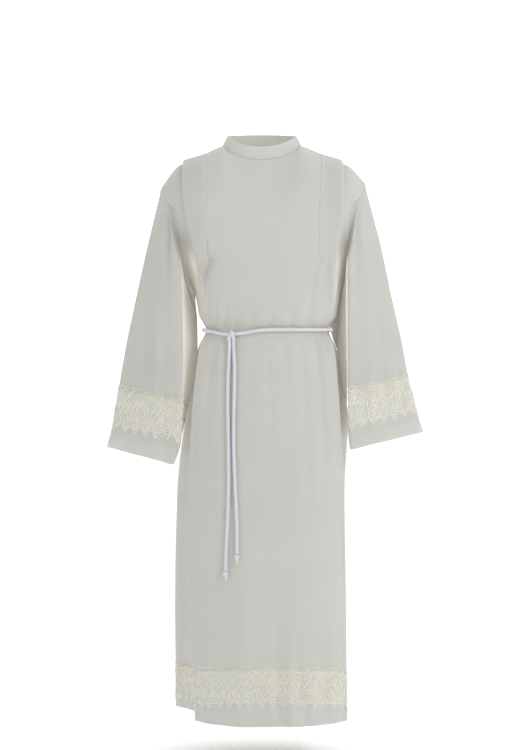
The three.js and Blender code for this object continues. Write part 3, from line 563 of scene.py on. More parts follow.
def net_material():
    """Ground of the lace: ivory net threads over the white cloth below."""
    m, nt, b = new_material("lace_net")
    nd = nt.nodes
    tc = nd.new("ShaderNodeTexCoord")
    sep = nd.new("ShaderNodeSeparateXYZ"); link(nt, tc.outputs["UV"], sep.inputs["Vector"])
    # diagonal threads: |sin(u+v)| and |sin(u-v)|
    outs = []
    for sgn in (1.0, -1.0):
        mv = nd.new("ShaderNodeMath"); mv.operation = "MULTIPLY"; mv.inputs[1].default_value = sgn
        link(nt, sep.outputs["Y"], mv.inputs[0])
        ad = nd.new("ShaderNodeMath"); ad.operation = "ADD"
        link(nt, sep.outputs["X"], ad.inputs[0]); link(nt, mv.outputs[0], ad.inputs[1])
        ml = nd.new("ShaderNodeMath"); ml.operation = "MULTIPLY"; ml.inputs[1].default_value = math.pi / 0.0030
        link(nt, ad.outputs[0], ml.inputs[0])
        sn = nd.new("ShaderNodeMath"); sn.operation = "SINE"; link(nt, ml.outputs[0], sn.inputs[0])
        ab = nd.new("ShaderNodeMath"); ab.operation = "ABSOLUTE"; link(nt, sn.outputs[0], ab.inputs[0])
        outs.append(ab)
    mn = nd.new("ShaderNodeMath"); mn.operation = "MINIMUM"
    link(nt, outs[0].outputs[0], mn.inputs[0]); link(nt, outs[1].outputs[0], mn.inputs[1])
    ramp = nd.new("ShaderNodeValToRGB")
    ramp.color_ramp.elements[0].position = 0.25; ramp.color_ramp.elements[0].color = (0.97, 0.96, 0.875, 1)
    ramp.color_ramp.elements[1].position = 0.6; ramp.color_ramp.elements[1].color = (0.95, 0.935, 0.82, 1)
    link(nt, mn.outputs[0], ramp.inputs["Fac"]); link(nt, ramp.outputs["Color"], b.inputs["Base Color"])
    bump = nd.new("ShaderNodeBump"); bump.invert = True
    bump.inputs["Strength"].default_value = 0.5; bump.inputs["Distance"].default_value = 0.0006
    link(nt, mn.outputs[0], bump.inputs["Height"]); link(nt, bump.outputs["Normal"], b.inputs["Normal"])
    b.inputs["Roughness"].default_value = 0.8
    see_through(nt, b, 0.34, (0.985, 0.97, 0.88, 1))
    # the holes between the threads: what lies below shows straight through
    out = nt.nodes["Material Output"]
    threads = out.inputs["Surface"].links[0].from_socket
    hole = nt.nodes.new("ShaderNodeBsdfTransparent"); mx = nt.nodes.new("ShaderNodeMixShader"); mx.inputs[0].default_value = 0.55
    link(nt, threads, mx.inputs[1]); link(nt, hole.outputs[0], mx.inputs[2]); link(nt, mx.outputs[0], out.inputs["Surface"])
    return m


def rope_material():
    m, nt, b = new_material("rope")
    nd = nt.nodes
    tc = nd.new("ShaderNodeTexCoord")
    n1 = nd.new("ShaderNodeTexNoise"); n1.inputs["Scale"].default_value = 700.0; n1.inputs["Detail"].default_value = 3.0
    link(nt, tc.outputs["Object"], n1.inputs["Vector"])
    ramp = nd.new("ShaderNodeValToRGB")
    ramp.color_ramp.elements[0].position = 0.3; ramp.color_ramp.elements[0].color = (0.60, 0.60, 0.63, 1)
    ramp.color_ramp.elements[1].position = 0.7; ramp.color_ramp.elements[1].color = (0.70, 0.70, 0.73, 1)
    link(nt, n1.outputs["Fac"], ramp.inputs["Fac"]); link(nt, ramp.outputs["Color"], b.inputs["Base Color"])
    bump = nd.new("ShaderNodeBump"); bump.inputs["Strength"].default_value = 0.35; bump.inputs["Distance"].default_value = 0.0004
    link(nt, n1.outputs["Fac"], bump.inputs["Height"]); link(nt, bump.outputs["Normal"], b.inputs["Normal"])
    b.inputs["Roughness"].default_value = 0.55
    b.inputs["Sheen Weight"].default_value = 0.2
    return m


M_CLOTH = cloth_material("alb_cloth", 0.35, (0.93, 0.914, 0.866, 1))
M_THIN = cloth_material("alb_cloth_single", 0.44, (0.95, 0.938, 0.91, 1))
M_LACE, M_NET, M_ROPE = lace_material(), net_material(), rope_material()

# ------------------------------------------------------------------ creases placed one by one
class Crease:
    """A soft trough (depth < 0) or ridge (depth > 0) along a line on the X, Z plane.
    wide = widths in mm on its left and right; ends fade over the given shares."""

    def __init__(self, pts, depth, wide, fade=(0.25, 0.35)):
        self.P = np.array(pts, float)
        self.depth, self.wide, self.fade = depth, wide, fade
        seg = np.diff(self.P, axis=0)
        self.L = np.hypot(seg[:, 0], seg[:, 1])
        self.cum = np.concatenate([[0], np.cumsum(self.L)])

    def at(self, X, Z):
        best = np.full(X.shape, 1e9); side = np.zeros(X.shape); along = np.zeros(X.shape)
        for i in range(len(self.P) - 1):
            a, b = self.P[i], self.P[i + 1]
            d = b - a
            l2 = d.dot(d)
            t = np.clip(((X - a[0]) * d[0] + (Z - a[1]) * d[1]) / l2, 0, 1)
            dx, dz = X - (a[0] + t * d[0]), Z - (a[1] + t * d[1])
            dist = np.hypot(dx, dz)
            # positive to the right of the line going down
            s = np.sign(-(d[0] * dz - d[1] * dx)) * -1
            m = dist < best
            best = np.where(m, dist, best); side = np.where(m, s, side)
            along = np.where(m, (self.cum[i] + t * self.L[i]) / self.cum[-1], along)
        w = np.where(side < 0, self.wide[0], self.wide[1])
        f0, f1 = self.fade
        e = np.ones(X.shape)
        if f0 > 0:
            q = np.clip(along / f0, 0, 1); e *= q * q * (3 - 2 * q)
        if f1 > 0:
            q = np.clip((1 - along) / f1, 0, 1); e *= q * q * (3 - 2 * q)
        return self.depth * np.exp(-(best / w) ** 2) * e


def front_creases():
    out = []

    def c(points, depth, wide, fade=(0.25, 0.35)):
        out.append(Crease([px(*p) for p in points], depth, wide, fade))
    # left: pulls that meet below the stitched pleat, and the curved fold under them
    c([(205.8, 236), (207.0, 250), (208.8, 262)], -3.0, (8, 3), (0.6, 0.1))
    c([(220.5, 236), (215.0, 249), (209.2, 262)], -3.2, (4, 9), (0.6, 0.1))
    c([(224.5, 232), (219.5, 246), (213.0, 259)], 1.8, (6, 6), (0.5, 0.2))
    c([(210.5, 257), (206.0, 267), (202.8, 278), (201.0, 291), (201.6, 308)], -9.0, (3.4, 10), (0.10, 0.5))
    c([(206.5, 259), (200.8, 271), (197.8, 284), (197.4, 304)], 3.6, (5, 5), (0.2, 0.5))
    c([(209.2, 268), (208.4, 300), (206.8, 328)], -3.6, (3.5, 8), (0.3, 0.15))
    c([(214.4, 292), (216.4, 329)], -2.6, (5, 6), (0.5, 0.1))
    c([(219.6, 298), (220.4, 330)], 1.6, (5, 5), (0.5, 0.1))
    c([(225.4, 292), (223.8, 331)], -2.6, (4, 7), (0.5, 0.1))
    # middle and right: small gathers standing on the cincture
    for x, top, d, w in ((236, 306, -1.6, 5), (245, 298, 1.4, 6), (253, 303, -2.0, 6), (263, 294, 1.5, 8), (272, 300, -2.1, 7),
                         (282, 304, 1.4, 6), (291, 292, -2.6, 8), (300, 299, 1.8, 6), (309, 290, -2.8, 8), (317, 298, 1.8, 5)):
        c([(x + (x - 262) * 0.04, top), (x, 329)], d, (w, w * 0.8), (0.6, 0.08))
    # right: pucker at the end of the stitched pleat, its ridge and the troughs below
    c([(318.4, 236), (318.2, 250), (318.8, 259)], -2.6, (3, 7), (0.6, 0.15))
    c([(317.8, 257.2), (320.5, 260.2), (323.6, 263.2)], -4.2, (3.4, 4.2), (0.2, 0.3))
    c([(321.5, 262.0), (327.5, 258.6), (334.5, 255.2)], 3.0, (4, 5), (0.3, 0.3))
    c([(329.5, 259.5), (326.4, 268), (323.6, 283), (322.4, 300)], -4.6, (5, 8), (0.15, 0.5))
    c([(322.0, 264), (319.0, 276), (317.6, 294)], 2.2, (5, 6), (0.2, 0.5))
    c([(314.5, 262), (311.5, 285), (310.5, 327)], -2.6, (6, 9), (0.3, 0.2))
    c([(331.0, 268), (328.2, 292), (326.2, 326)], -3.4, (5, 7), (0.3, 0.15))
    # chest: a long shallow drag from the collar and one across the breast
    c([(228, 166), (222, 196), (219, 232)], -1.8, (13, 16), (0.4, 0.4))
    c([(300, 160), (305, 200), (306, 244)], -1.8, (16, 12), (0.4, 0.4))
    c([(262, 176), (262, 216), (259, 262)], 2.0, (26, 26), (0.4, 0.4))
    # skirt: long soft folds that fall from the cincture
    c([(213.5, 333), (208.5, 372), (204.5, 430), (203, 520)], -4.2, (8, 13), (0.06, 0.6))
    c([(222, 333), (219, 380), (217.5, 460)], 2.6, (8, 9), (0.1, 0.6))
    c([(236, 333), (234.5, 372), (233, 440), (232, 540)], -1.8, (9, 11), (0.08, 0.6))
    c([(252, 333), (252, 380), (251, 470)], -1.2, (8, 10), (0.1, 0.6))
    c([(268, 333), (269, 385), (270, 500)], -1.5, (9, 9), (0.1, 0.6))
    c([(284, 333), (287, 390), (289, 520)], -1.8, (10, 9), (0.08, 0.6))
    c([(300, 332), (305, 380), (308, 470), (309, 600)], -3.2, (12, 9), (0.06, 0.5))
    c([(314, 331), (320.5, 372), (325, 440), (327, 540)], -5.2, (13, 8), (0.06, 0.6))
    c([(322, 331), (329, 364), (333.5, 410), (336, 500)], 2.6, (8, 8), (0.1, 0.6))
    # skirt: broad swells lower down, and the two troughs that reach the hem
    c([(222, 560), (221, 640), (220, 728)], -4.6, (22, 28), (0.5, 0.0))
    c([(247, 520), (246, 630), (245, 728)], 4.0, (20, 22), (0.5, 0.0))
    c([(276.5, 600), (277.6, 660), (279.0, 700), (280.2, 729)], -6.0, (11, 14), (0.6, 0.0))
    c([(289, 610), (290, 670), (291, 729)], 3.4, (9, 9), (0.6, 0.0))
    c([(299.5, 650), (301.2, 690), (304.6, 712), (307.5, 729)], -5.0, (8, 12), (0.5, 0.0))
    c([(322, 600), (324, 670), (325, 729)], -4.0, (14, 16), (0.5, 0.0))
    return out


def back_creases():
    """Similar folds on the back, at places of their own. X as seen from the front."""
    out = []

    def c(points, depth, wide, fade=(0.25, 0.35)):
        out.append(Crease(points, depth, wide, fade))
    for x, top, d, w in ((-118, -330, -2.6, 14), (-92, -350, 1.8, 12), (-66, -322, -2.8, 16), (-30, -345, -2.2, 15), (8, -318, 2.0, 18), (34, -340, -2.8, 15),
                         (70, -325, -2.4, 16), (98, -345, 2.0, 12), (124, -322, -3.0, 14)):
        c([(x * 1.03, top), (x, -428)], d, (w, w * 0.85), (0.6, 0.08))
    for x, x2, bottom, d, w in ((-120, -136, -900, -5.5, 24), (-84, -96, -760, -4.2, 20), (-52, -58, -1050, -5.4, 26), (-14, -14, -820, 3.4, 24), (22, 26, -960, -5.2, 26),
                                (62, 72, -780, -4.0, 22), (96, 112, -1000, -5.6, 24), (126, 144, -840, 3.6, 18)):
        c([(x, -436), (x + (x2 - x) * 0.6, -600), (x2, bottom)], d, (w, w * 0.8), (0.05, 0.5))
    for x, d, w in ((-104, -6.0, 34), (-60, 5.0, 30), (34, 5.5, 34), (84, -6.5, 34), (-16, -5.0, 28)):
        c([(x * 0.96, -900), (x, -1150), (x * 1.03, -1362)], d, (w, w * 0.85), (0.5, 0.0))
    return out


CREASES = {"front": front_creases(), "back": back_creases()}


def stitched_line(d, outward):
    """Profile across the line of stitching that holds a pleat down: the cloth of
    the pleat stands over the line from the outer side. d in mm, outwards."""
    d = d * outward
    groove = -1.0 * np.exp(-(np.minimum(d, 0) / 1.3) ** 2 - (np.maximum(d, 0) / 0.5) ** 2)
    step = 0.7 * np.exp(-((d - 3.0) / 2.6) ** 2)
    return groove + step

# ------------------------------------------------------------------ the panels
levels_up = [0, -2, -5, -9, -14, -20, -27, -35, -43, -51, -60, -69, -79, -90]
levels_up += list(np.linspace(-97, UNDERARM_Z, 36))
levels_low = list(np.linspace(UNDERARM_Z - 7, WAIST_Z + 14, 11)) + list(np.linspace(WAIST_Z + 8, WAIST_Z - 8, 7))
levels_low += list(np.linspace(WAIST_Z - 14, -1200, 92)) + list(np.linspace(-1206, HEM_Z, 26))
LEVELS = levels_up + levels_low
SHARE = column_share()
COLSHARE = np.concatenate([SHARE[::-1], SHARE[1:]])

PANELS = {}
for panel in ("front", "back"):
    G = panel_grid(panel, LEVELS)
    N = grid_normals(G)
    mid = N[len(LEVELS) // 2, G.shape[1] // 2]
    if (mid[1] < 0) != (panel == "front"):
        N = -N
    # creases only on the outer layer, between the two pleat edges
    lim = HALF.index("e1") / (len(HALF) - 1)
    mask = np.clip((lim - COLSHARE) / 0.04, 0, 1)[None, :]
    D = np.zeros(G.shape[:2])
    for cr in CREASES[panel]:
        D += cr.at(G[..., 0], G[..., 2])
    D *= mask
    lev = np.array(LEVELS, float)
    si = int(np.argmin(np.abs(SHARE - HALF.index("s") / (len(HALF) - 1))))
    for sgn, col in ((-1, len(SHARE) - 1 - si), (1, len(SHARE) - 1 + si)):
        dist = G[..., 0] - G[:, col:col + 1, 0]
        near = (np.abs(dist) < 12) & (np.sign(G[..., 0]) == sgn)
        held = np.array([1.0 if z > -250 else max(0.0, 1 - (-250 - z) / 16.0) for z in lev]) * (lev < -1)
        D += np.where(near, stitched_line(dist, sgn), 0.0) * held[:, None]
    # the hem is turned up and sewn down
    hem = HEM_Z + 40
    D += (-0.9 * np.exp(-((lev - hem) / 2.6) ** 2) + 0.35 * (lev < hem))[:, None]
    G = G + N * D[..., None]
    thick = np.full(G.shape[:2], 1.3)
    thick[np.array(LEVELS) < HEM_Z + 40] = 1.8
    ob, outer, N = shell(f"{panel}_cloth", G, thick, M_CLOTH if panel == "front" else M_THIN, normals=smooth_grid(N, 1))
    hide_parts(panel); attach(ob, "root")
    PANELS[panel] = dict(ob=ob, G=G, outer=outer, N=N)

# ------------------------------------------------------------------ sleeves
RING = [("t", "F", 0), ("f1", "F", -9), ("f2", "F", -25), ("i", "F", -50), ("d1", "F", -90), ("d2", "F", -137),
        ("d3", "F", -206), ("d4", "F", -274), ("q", "F", -343), ("w4", "B", -274), ("w3", "B", -206),
        ("w2", "B", -137), ("w1", "B", -90), ("k", "B", -50), ("b1", "B", -25), ("b2", "B", -9)]
# smooth position of each ring column round the armhole, by level
_ends = {}


def arm_edge(panel, side, level):
    key = (panel, side, round(level, 3))
    if key not in _ends:
        p = level_points(panel, side, level)
        a, h = np.array(p[-1]), np.array(p[-2])
        _ends[key] = (a, (a - h) / (np.linalg.norm(a - h) or 1))
    return _ends[key]


def sleeve_form(side, s, tuck=0.0):
    sign = -1 if side == "left" else 1
    r = sample(SLEEVE[side], s)
    P = lambda i: np.array([r[i] * sign, r[i + 1], r[i + 2]])
    t, i, q, k = P(1), P(4), P(7), P(10)
    mixp = lambda a, b, f, dx=0.0, dy=0.0: a + (b - a) * f + np.array([sign * dx, dy, 0])
    at = dict(t=t, f1=mixp(t, i, 0.33, 0, -13), f2=mixp(t, i, 0.68, 0, -11), i=i,
              d1=mixp(i, q, 0.2, 0, 1), d2=mixp(i, q, 0.4, 2, 2), d3=mixp(i, q, 0.6, 1, 2), d4=mixp(i, q, 0.8, 0, 1), q=q,
              w4=mixp(q, k, 0.2, 0, 1), w3=mixp(q, k, 0.4, 0, 2), w2=mixp(q, k, 0.6, 1, 3), w1=mixp(q, k, 0.8, 0, 2), k=k,
              b1=mixp(k, t, 0.33, 0, 10), b2=mixp(k, t, 0.68, 0, 10))
    for n in ("w4", "w3", "w2", "w1"):
        at[n] = at[n] + np.array([TUCK[n][0] * tuck, TUCK[n][1] * tuck, 0])
    return [at[n] for n, _, _ in RING]


def sleeve_ring(side, s):
    first = SLEEVE[side][0][0]
    tuck = 1 - smooth((s - TUCK["start"]) / (TUCK["end"] - TUCK["start"])) if side == "right" else 0.0
    if s >= first:
        return sleeve_form(side, s, tuck)
    u = max(0.0, s) / first
    f = sleeve_form(side, first, tuck * smooth(u) / u if u > 0 else 0.0)
    stand = 9 * math.sin(math.pi * math.sqrt(u))
    out = []
    for c, (name, h, level) in enumerate(RING):
        a, away = arm_edge("front" if h == "F" else "back", side, level)
        p = a + (f[c] - a) * u
        if name[0] in "dw":
            p = p + away * stand
        elif name == "q":
            p = p + np.array([0, 0, -stand * 0.5])
        out.append(p)
    return out


def ring_spline(pts, counts):
    """Closed centripetal spline."""
    n = len(pts)
    P = [np.array(p) for p in pts]
    out = []
    for i in range(n):
        seg = spline([P[(i - 1) % n], P[i], P[(i + 1) % n], P[(i + 2) % n]], [1, counts[i], 1])
        out.append(seg[1:1 + counts[i]])
    return np.vstack(out)


def sleeve_creases():
    out = {"left": [], "right": []}

    def c(side, points, depth, wide, fade=(0.2, 0.4), deep=-75.0):
        out[side].append(Crease([px(*p, deep) for p in points], depth, wide, fade))
    c("left", [(170.6, 178), (170.6, 204), (169.2, 222), (167.4, 255), (164.5, 300)], -6.5, (7, 4.5), (0.05, 0.5))
    c("left", [(174.6, 186), (174.4, 240), (173.0, 320), (171.5, 386)], 4.0, (6, 5), (0.1, 0.5))
    c("left", [(151, 232), (148, 290), (143.5, 350), (139, 420)], -4.0, (12, 14), (0.5, 0.3))
    c("left", [(160, 262), (158, 330), (155.5, 400), (153, 455)], 4.0, (12, 12), (0.5, 0.1))
    c("left", [(133, 330), (129, 372), (126, 410), (123, 448)], -3.2, (8, 10), (0.5, 0.0))
    c("left", [(165.5, 400), (164, 430), (163, 462)], -3.4, (8, 9), (0.5, 0.0))
    c("right", [(358.6, 186), (357.4, 215), (356.8, 250), (357.8, 300)], -5.0, (4.5, 8), (0.1, 0.5))
    c("right", [(354.0, 190), (352.8, 240), (353.5, 330)], 2.8, (5, 5), (0.1, 0.5))
    c("right", [(374, 236), (378, 300), (384, 360), (389, 425)], -3.6, (14, 12), (0.5, 0.3))
    c("right", [(364, 262), (367, 330), (371, 395), (374, 440)], 3.8, (12, 12), (0.5, 0.1))
    c("right", [(396, 330), (401, 372), (405, 405), (408, 436)], -3.0, (9, 8), (0.5, 0.0))
    return out


SLEEVE_CREASES = sleeve_creases()
RING_STEPS = [8, 10, 8, 6, 5, 5, 5, 5, 5, 5, 5, 5, 6, 8, 10, 8]
SLEEVES = {}
for side in ("left", "right"):
    S = np.concatenate([np.linspace(0, 0.25, 34)[:-1], np.linspace(0.25, 0.94, 84), np.linspace(0.945, 1.0, 14)])
    rings = []
    for s in S:
        rings.append(ring_spline(sleeve_ring(side, s), RING_STEPS))
    G = np.array(rings)
    # stand off the armhole edge
    head = 0.9
    d = G[1] - G[0]
    G[0] += d / np.maximum(np.linalg.norm(d, axis=1, keepdims=True), 1e-6) * head
    N = grid_normals(G, True)
    cen = G.mean(axis=1, keepdims=True)
    if ((G - cen) * N).sum() < 0:
        N = -N
    # creases on the front of the sleeve only
    cols = np.arange(G.shape[1])
    edge = sum(RING_STEPS[:3])
    mask = np.clip(np.minimum(cols / 3.0, (edge - cols) / 2.0), 0, 1)[None, :]
    D = np.zeros(G.shape[:2])
    for cr in SLEEVE_CREASES[side]:
        D += cr.at(G[..., 0], G[..., 2])
    D *= mask * np.clip(S / 0.04, 0, 1)[:, None]
    # broad folds on the back of it
    ph = np.clip((cols - sum(RING_STEPS[:13])) / (len(cols) - sum(RING_STEPS[:13])), 0, 1)
    D += (np.sin(ph * math.pi * 3.0) * np.sin(ph * math.pi) * 4.0)[None, :] * smooth_line(S, 0.15, 0.6)[:, None]
    # the sharp fold along the sleeve's inner front edge
    D += (2.6 * np.exp(-((cols - (edge - 1)) / 1.4) ** 2))[None, :] * np.clip(S / 0.05, 0, 1)[:, None]
    # the cuff is turned up and sewn down; the head of the sleeve is stitched
    D += (-0.9 * np.exp(-((S - 0.955) / 0.0042) ** 2) + 0.3 * (S > 0.955))[:, None]
    D += (0.9 * np.exp(-((S - 0.017) / 0.007) ** 2) - 0.5 * np.exp(-((S - 0.030) / 0.006) ** 2))[:, None]
    G = G + N * D[..., None]
    thick = np.full(G.shape[:2], 1.3)
    thick[S > 0.955] = 1.8
    ob, outer, N = shell(f"sleeve_{side}_cloth", G, thick, M_THIN, wrap=True, normals=smooth_grid(N, 1, True))
    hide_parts(f"sleeve_{side}"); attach(ob, "root")
    SLEEVES[side] = dict(ob=ob, G=G, outer=outer, N=N, S=S)

# ------------------------------------------------------------------ collar
def collar_grid(steps=260, rows=30):
    G = []
    for r in range(rows):
        v = r / (rows - 1)
        line = []
        for i in range(steps + 1):
            a = COLLAR["close"] + (math.pi * 2 + COLLAR["overlap"]) * (i / steps)
            ca, sa = math.cos(a), math.sin(a)
            depth = -NECK["front"] if ca > 0 else NECK["back"]
            zc = NECK["zf"] if ca > 0 else NECK["zb"]
            shrink = 1 - (COLLAR["lean"] / NECK["half"]) * v
            layer = 1 + 0.030 * smooth((i / steps - 0.80) / 0.2)
            z0 = lerp(NECK["zs"], zc, abs(ca) ** 1.4) + 1.0
            h = COLLAR["height"] - 7 * (1 - abs(ca)) - (4 * -ca if ca < 0 else 0)
            # rows of stitching along both edges, and two small slanting wrinkles in front
            relief = -0.34 * (math.exp(-((v - 0.09) / 0.030) ** 2) + math.exp(-((v - 0.90) / 0.030) ** 2))
            if ca > 0:
                x = NECK["half"] * sa * shrink
                for x0, lean, d, w in ((33, -14, -1.5, 3.0), (40, -13, 1.1, 3.4), (47, -12, -1.2, 2.6), (-38, 11, -0.9, 4.0), (-6, 6, 0.7, 9.0)):
                    relief += d * math.exp(-((x - x0 - lean * (v - 0.5)) / w) ** 2) * math.sin(math.pi * clamp01(v * 0.9 + 0.05))
            out = 1 + relief / NECK["half"]
            line.append((NECK["x"] + NECK["half"] * sa * shrink * layer * out, NECK["y"] + (depth * abs(ca) * shrink * layer + relief * ca), z0 + h * v))
        G.append(line)
    return np.array(G)


G = collar_grid()
COLLAR_OB, _, _ = shell("collar_cloth", G, 1.6, M_CLOTH)
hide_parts("collar"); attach(COLLAR_OB, "root")

# ------------------------------------------------------------------ lace
LACE_H = 97.0            # height of the band to the tips of its points
LACE_P = 26.5            # width of one repeat


class Band:
    """The cloth under a band of lace, addressed by mm along it and mm down it."""

    def __init__(self, G, N, wrap):
        self.wrap, self.R = wrap, G.shape[0]
        if wrap:
            G, N = np.concatenate([G, G[:, :1]], 1), np.concatenate([N, N[:, :1]], 1)
        self.G, self.N = G, N
        mid = G[int(self.R * 0.6)]
        self.cum = np.concatenate([[0], np.cumsum(np.linalg.norm(np.diff(mid, axis=0), axis=1))])
        self.length = self.cum[-1]
        self.count = int(round(self.length / LACE_P))
        self.p = self.length / self.count

    def at(self, u, v):
        u = np.mod(u, self.length) if self.wrap else np.clip(u, 0, self.length)
        c = np.interp(u, self.cum, np.arange(len(self.cum)))
        r = np.clip(v / LACE_H, 0, 1) * (self.R - 1)
        c0 = np.minimum(c.astype(int), len(self.cum) - 2); fc = (c - c0)[..., None]
        r0 = np.minimum(r.astype(int), self.R - 2); fr = (r - r0)[..., None]

        def mix(A):
            return ((A[r0, c0] * (1 - fc) + A[r0, c0 + 1] * fc) * (1 - fr)
                    + (A[r0 + 1, c0] * (1 - fc) + A[r0 + 1, c0 + 1] * fc) * fr)
        n = mix(self.N)
        return mix(self.G), n / np.maximum(np.linalg.norm(n, axis=-1, keepdims=True), 1e-9)


def soft(points, n, closed=False):
    P = [np.array(q, float) for q in points]
    if closed:
        k = len(P)
        out = []
        for i in range(k):
            seg = spline([P[(i - 1) % k], P[i], P[(i + 1) % k], P[(i + 2) % k]], [1, n, 1])
            out.append(seg[1:1 + n])
        return np.vstack(out)
    return spline(P, [n] * (len(P) - 1))


def mirror(points):
    return list(points) + [(-x, y) for x, y in reversed(points[:-1])]


def leaf(x0, y0, x1, y1, w):
    """A narrow closed leaf from its foot to its tip."""
    d = np.array([x1 - x0, y1 - y0], float); n = np.array([-d[1], d[0]]) / np.hypot(*d)
    f = np.array([x0, y0], float)
    return [f, f + d * 0.45 + n * w, f + d * 0.8 + n * w * 0.62, f + d, f + d * 0.8 - n * w * 0.62, f + d * 0.45 - n * w]


def lace_motif(p):
    """Curves of one repeat: (points in mm, closed, radius)."""
    h = p / 2
    c = []
    # pointed arches, whose feet run down between the ovals
    c.append((soft(mirror([(-h * 1.0, 64), (-h * 0.99, 54), (-h * 0.92, 44), (-h * 0.70, 34), (-h * 0.36, 26), (-h * 0.10, 20.5), (0, 15.5)]), 3), False, 0.74))
    c.append((soft(mirror([(-h * 0.66, 45), (-h * 0.60, 38.5), (-h * 0.36, 32), (-h * 0.12, 27.0), (0, 22.5)]), 3), False, 0.52))
    # a fan of leaves under each arch
    c.append((soft(leaf(0, 45.5, 0, 29.0, 2.1), 3, True), True, 0.7))
    for s in (-1, 1):
        c.append((soft(leaf(s * 1.8, 45.8, s * 6.4, 35.0, 1.7), 3, True), True, 0.62))
    # ovals, one inside the other
    for hw, up, dn, r in ((0.86 * h, 18.5, 19.5, 0.80), (0.50 * h, 11.5, 12.6, 0.62), (0.17 * h, 5.4, 5.8, 0.8)):
        pts = [(0, 66 - up), (hw * 0.62, 66 - up * 0.66), (hw, 66 - up * 0.1), (hw * 0.86, 66 + dn * 0.45), (hw * 0.45, 66 + dn * 0.84),
               (0, 66 + dn), (-hw * 0.45, 66 + dn * 0.84), (-hw * 0.86, 66 + dn * 0.45), (-hw, 66 - up * 0.1), (-hw * 0.62, 66 - up * 0.66)]
        c.append((soft(pts, 3, True), True, r))
    # points of the lower edge, two lines deep
    for k, r in ((0.0, 0.85), (5.4, 0.62)):
        c.append((soft(mirror([(-h, 82.5 - k), (-h * 0.80, 84.5 - k), (-h * 0.50, 88.5 - k), (-h * 0.20, 93.0 - k), (0, 96.2 - k)]), 2), False, r))
    # straight heading with diamonds
    c.append((np.array([(-h, 1.0), (0, 1.0), (h, 1.0)]), False, 0.62))
    c.append((np.array([(-h, 10.0), (0, 10.0), (h, 10.0)]), False, 0.5))
    for q in (0, 1):
        z = [(-h + p * i / 6, 2.2 if (i + q) % 2 else 8.8) for i in range(7)]
        c.append((np.array(z), False, 0.42))
    # small rings scattered on the net between the arches
    for x, y, r in ((-h, 19, 1.7), (-h * 0.55, 16, 1.3), (h * 0.55, 16, 1.3), (-h, 31, 2.2), (-h, 42, 1.5)):
        c.append((np.array([(x + r * math.cos(a), y + r * 1.15 * math.sin(a)) for a in np.linspace(0, 2 * math.pi, 8, endpoint=False)]), True, 0.42))
    return c


def lace_cords(name, band, seed):
    rg = np.random.default_rng(seed)
    motif = lace_motif(band.p)
    allv, allf, base = [], [], 0
    for k in range(band.count):
        mid = (k + 0.5) * band.p
        jit = rg.normal(0, 0.16, 2)
        for pts, closed, rad in motif:
            u = pts[:, 0] + mid
            v = pts[:, 1] * (LACE_H / 97.0)
            inner = np.abs(pts[:, 0]) < band.p * 0.49
            u = u + jit[0] * inner; v = v + jit[1] * inner * (pts[:, 1] > 12)
            P, Nn = band.at(u, v)
            n = len(P)
            T = (np.roll(P, -1, 0) - np.roll(P, 1, 0)) if closed else np.gradient(P, axis=0)
            T /= np.maximum(np.linalg.norm(T, axis=1, keepdims=True), 1e-9)
            S = np.cross(T, Nn); S /= np.maximum(np.linalg.norm(S, axis=1, keepdims=True), 1e-9)
            r = rad * 1.36
            lift = 0.62
            ring = np.stack([P + Nn * (lift - 0.2) + S * r, P + Nn * (lift + r * 0.72) + S * r * 0.5, P + Nn * (lift + r * 0.72) - S * r * 0.5, P + Nn * (lift - 0.2) - S * r], 1)
            allv.append(ring.reshape(-1, 3))
            seg = n if closed else n - 1
            i = np.arange(seg)[:, None]; j = np.arange(4)[None, :]
            i2 = (i + 1) % n; j2 = (j + 1) % 4
            f = np.stack([i * 4 + j, i2 * 4 + j, i2 * 4 + j2, i * 4 + j2], -1).reshape(-1, 4) + base
            allf.append(f)
            if not closed:
                allf.append(np.array([[3, 2, 1, 0]]) + base)
                allf.append(np.array([[0, 1, 2, 3]]) + base + (n - 1) * 4)
            base += n * 4
        # picot at the tip
        P, Nn = band.at(np.array([mid]), np.array([LACE_H]))
        c0, nn = P[0] + Nn[0] * 1.0, Nn[0]
        tvec = np.array([nn[1], -nn[0], 0.0]); tvec /= max(np.linalg.norm(tvec), 1e-6)
        wvec = np.cross(nn, tvec)
        vs = [c0 + nn * 1.0]
        for a in np.linspace(0, 2 * math.pi, 7, endpoint=False):
            vs.append(c0 + (tvec * math.cos(a) + wvec * math.sin(a)) * 1.35)
        vs.append(c0 - nn * 0.7)
        allv.append(np.array(vs))
        fl = []
        for j in range(7):
            fl.append([0, 1 + j, 1 + (j + 1) % 7, 0]); fl.append([8, 1 + (j + 1) % 7, 1 + j, 8])
        allf.append(np.array(fl) + base)
        base += 9
    V = np.vstack(allv) * MM
    F = [list(dict.fromkeys(f)) for f in np.vstack(allf).tolist()]
    me = bpy.data.meshes.new(name)
    me.from_pydata(V.tolist(), [], F)
    me.polygons.foreach_set("use_smooth", [True] * len(me.polygons))
    me.materials.append(M_LACE)
    import bmesh
    bm = bmesh.new(); bm.from_mesh(me); bmesh.ops.recalc_face_normals(bm, faces=bm.faces); bm.to_mesh(me); bm.free()
    me.update()
    ob = bpy.data.objects.new(name, me)
    scene.collection.objects.link(ob)
    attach(ob, "root")
    return ob


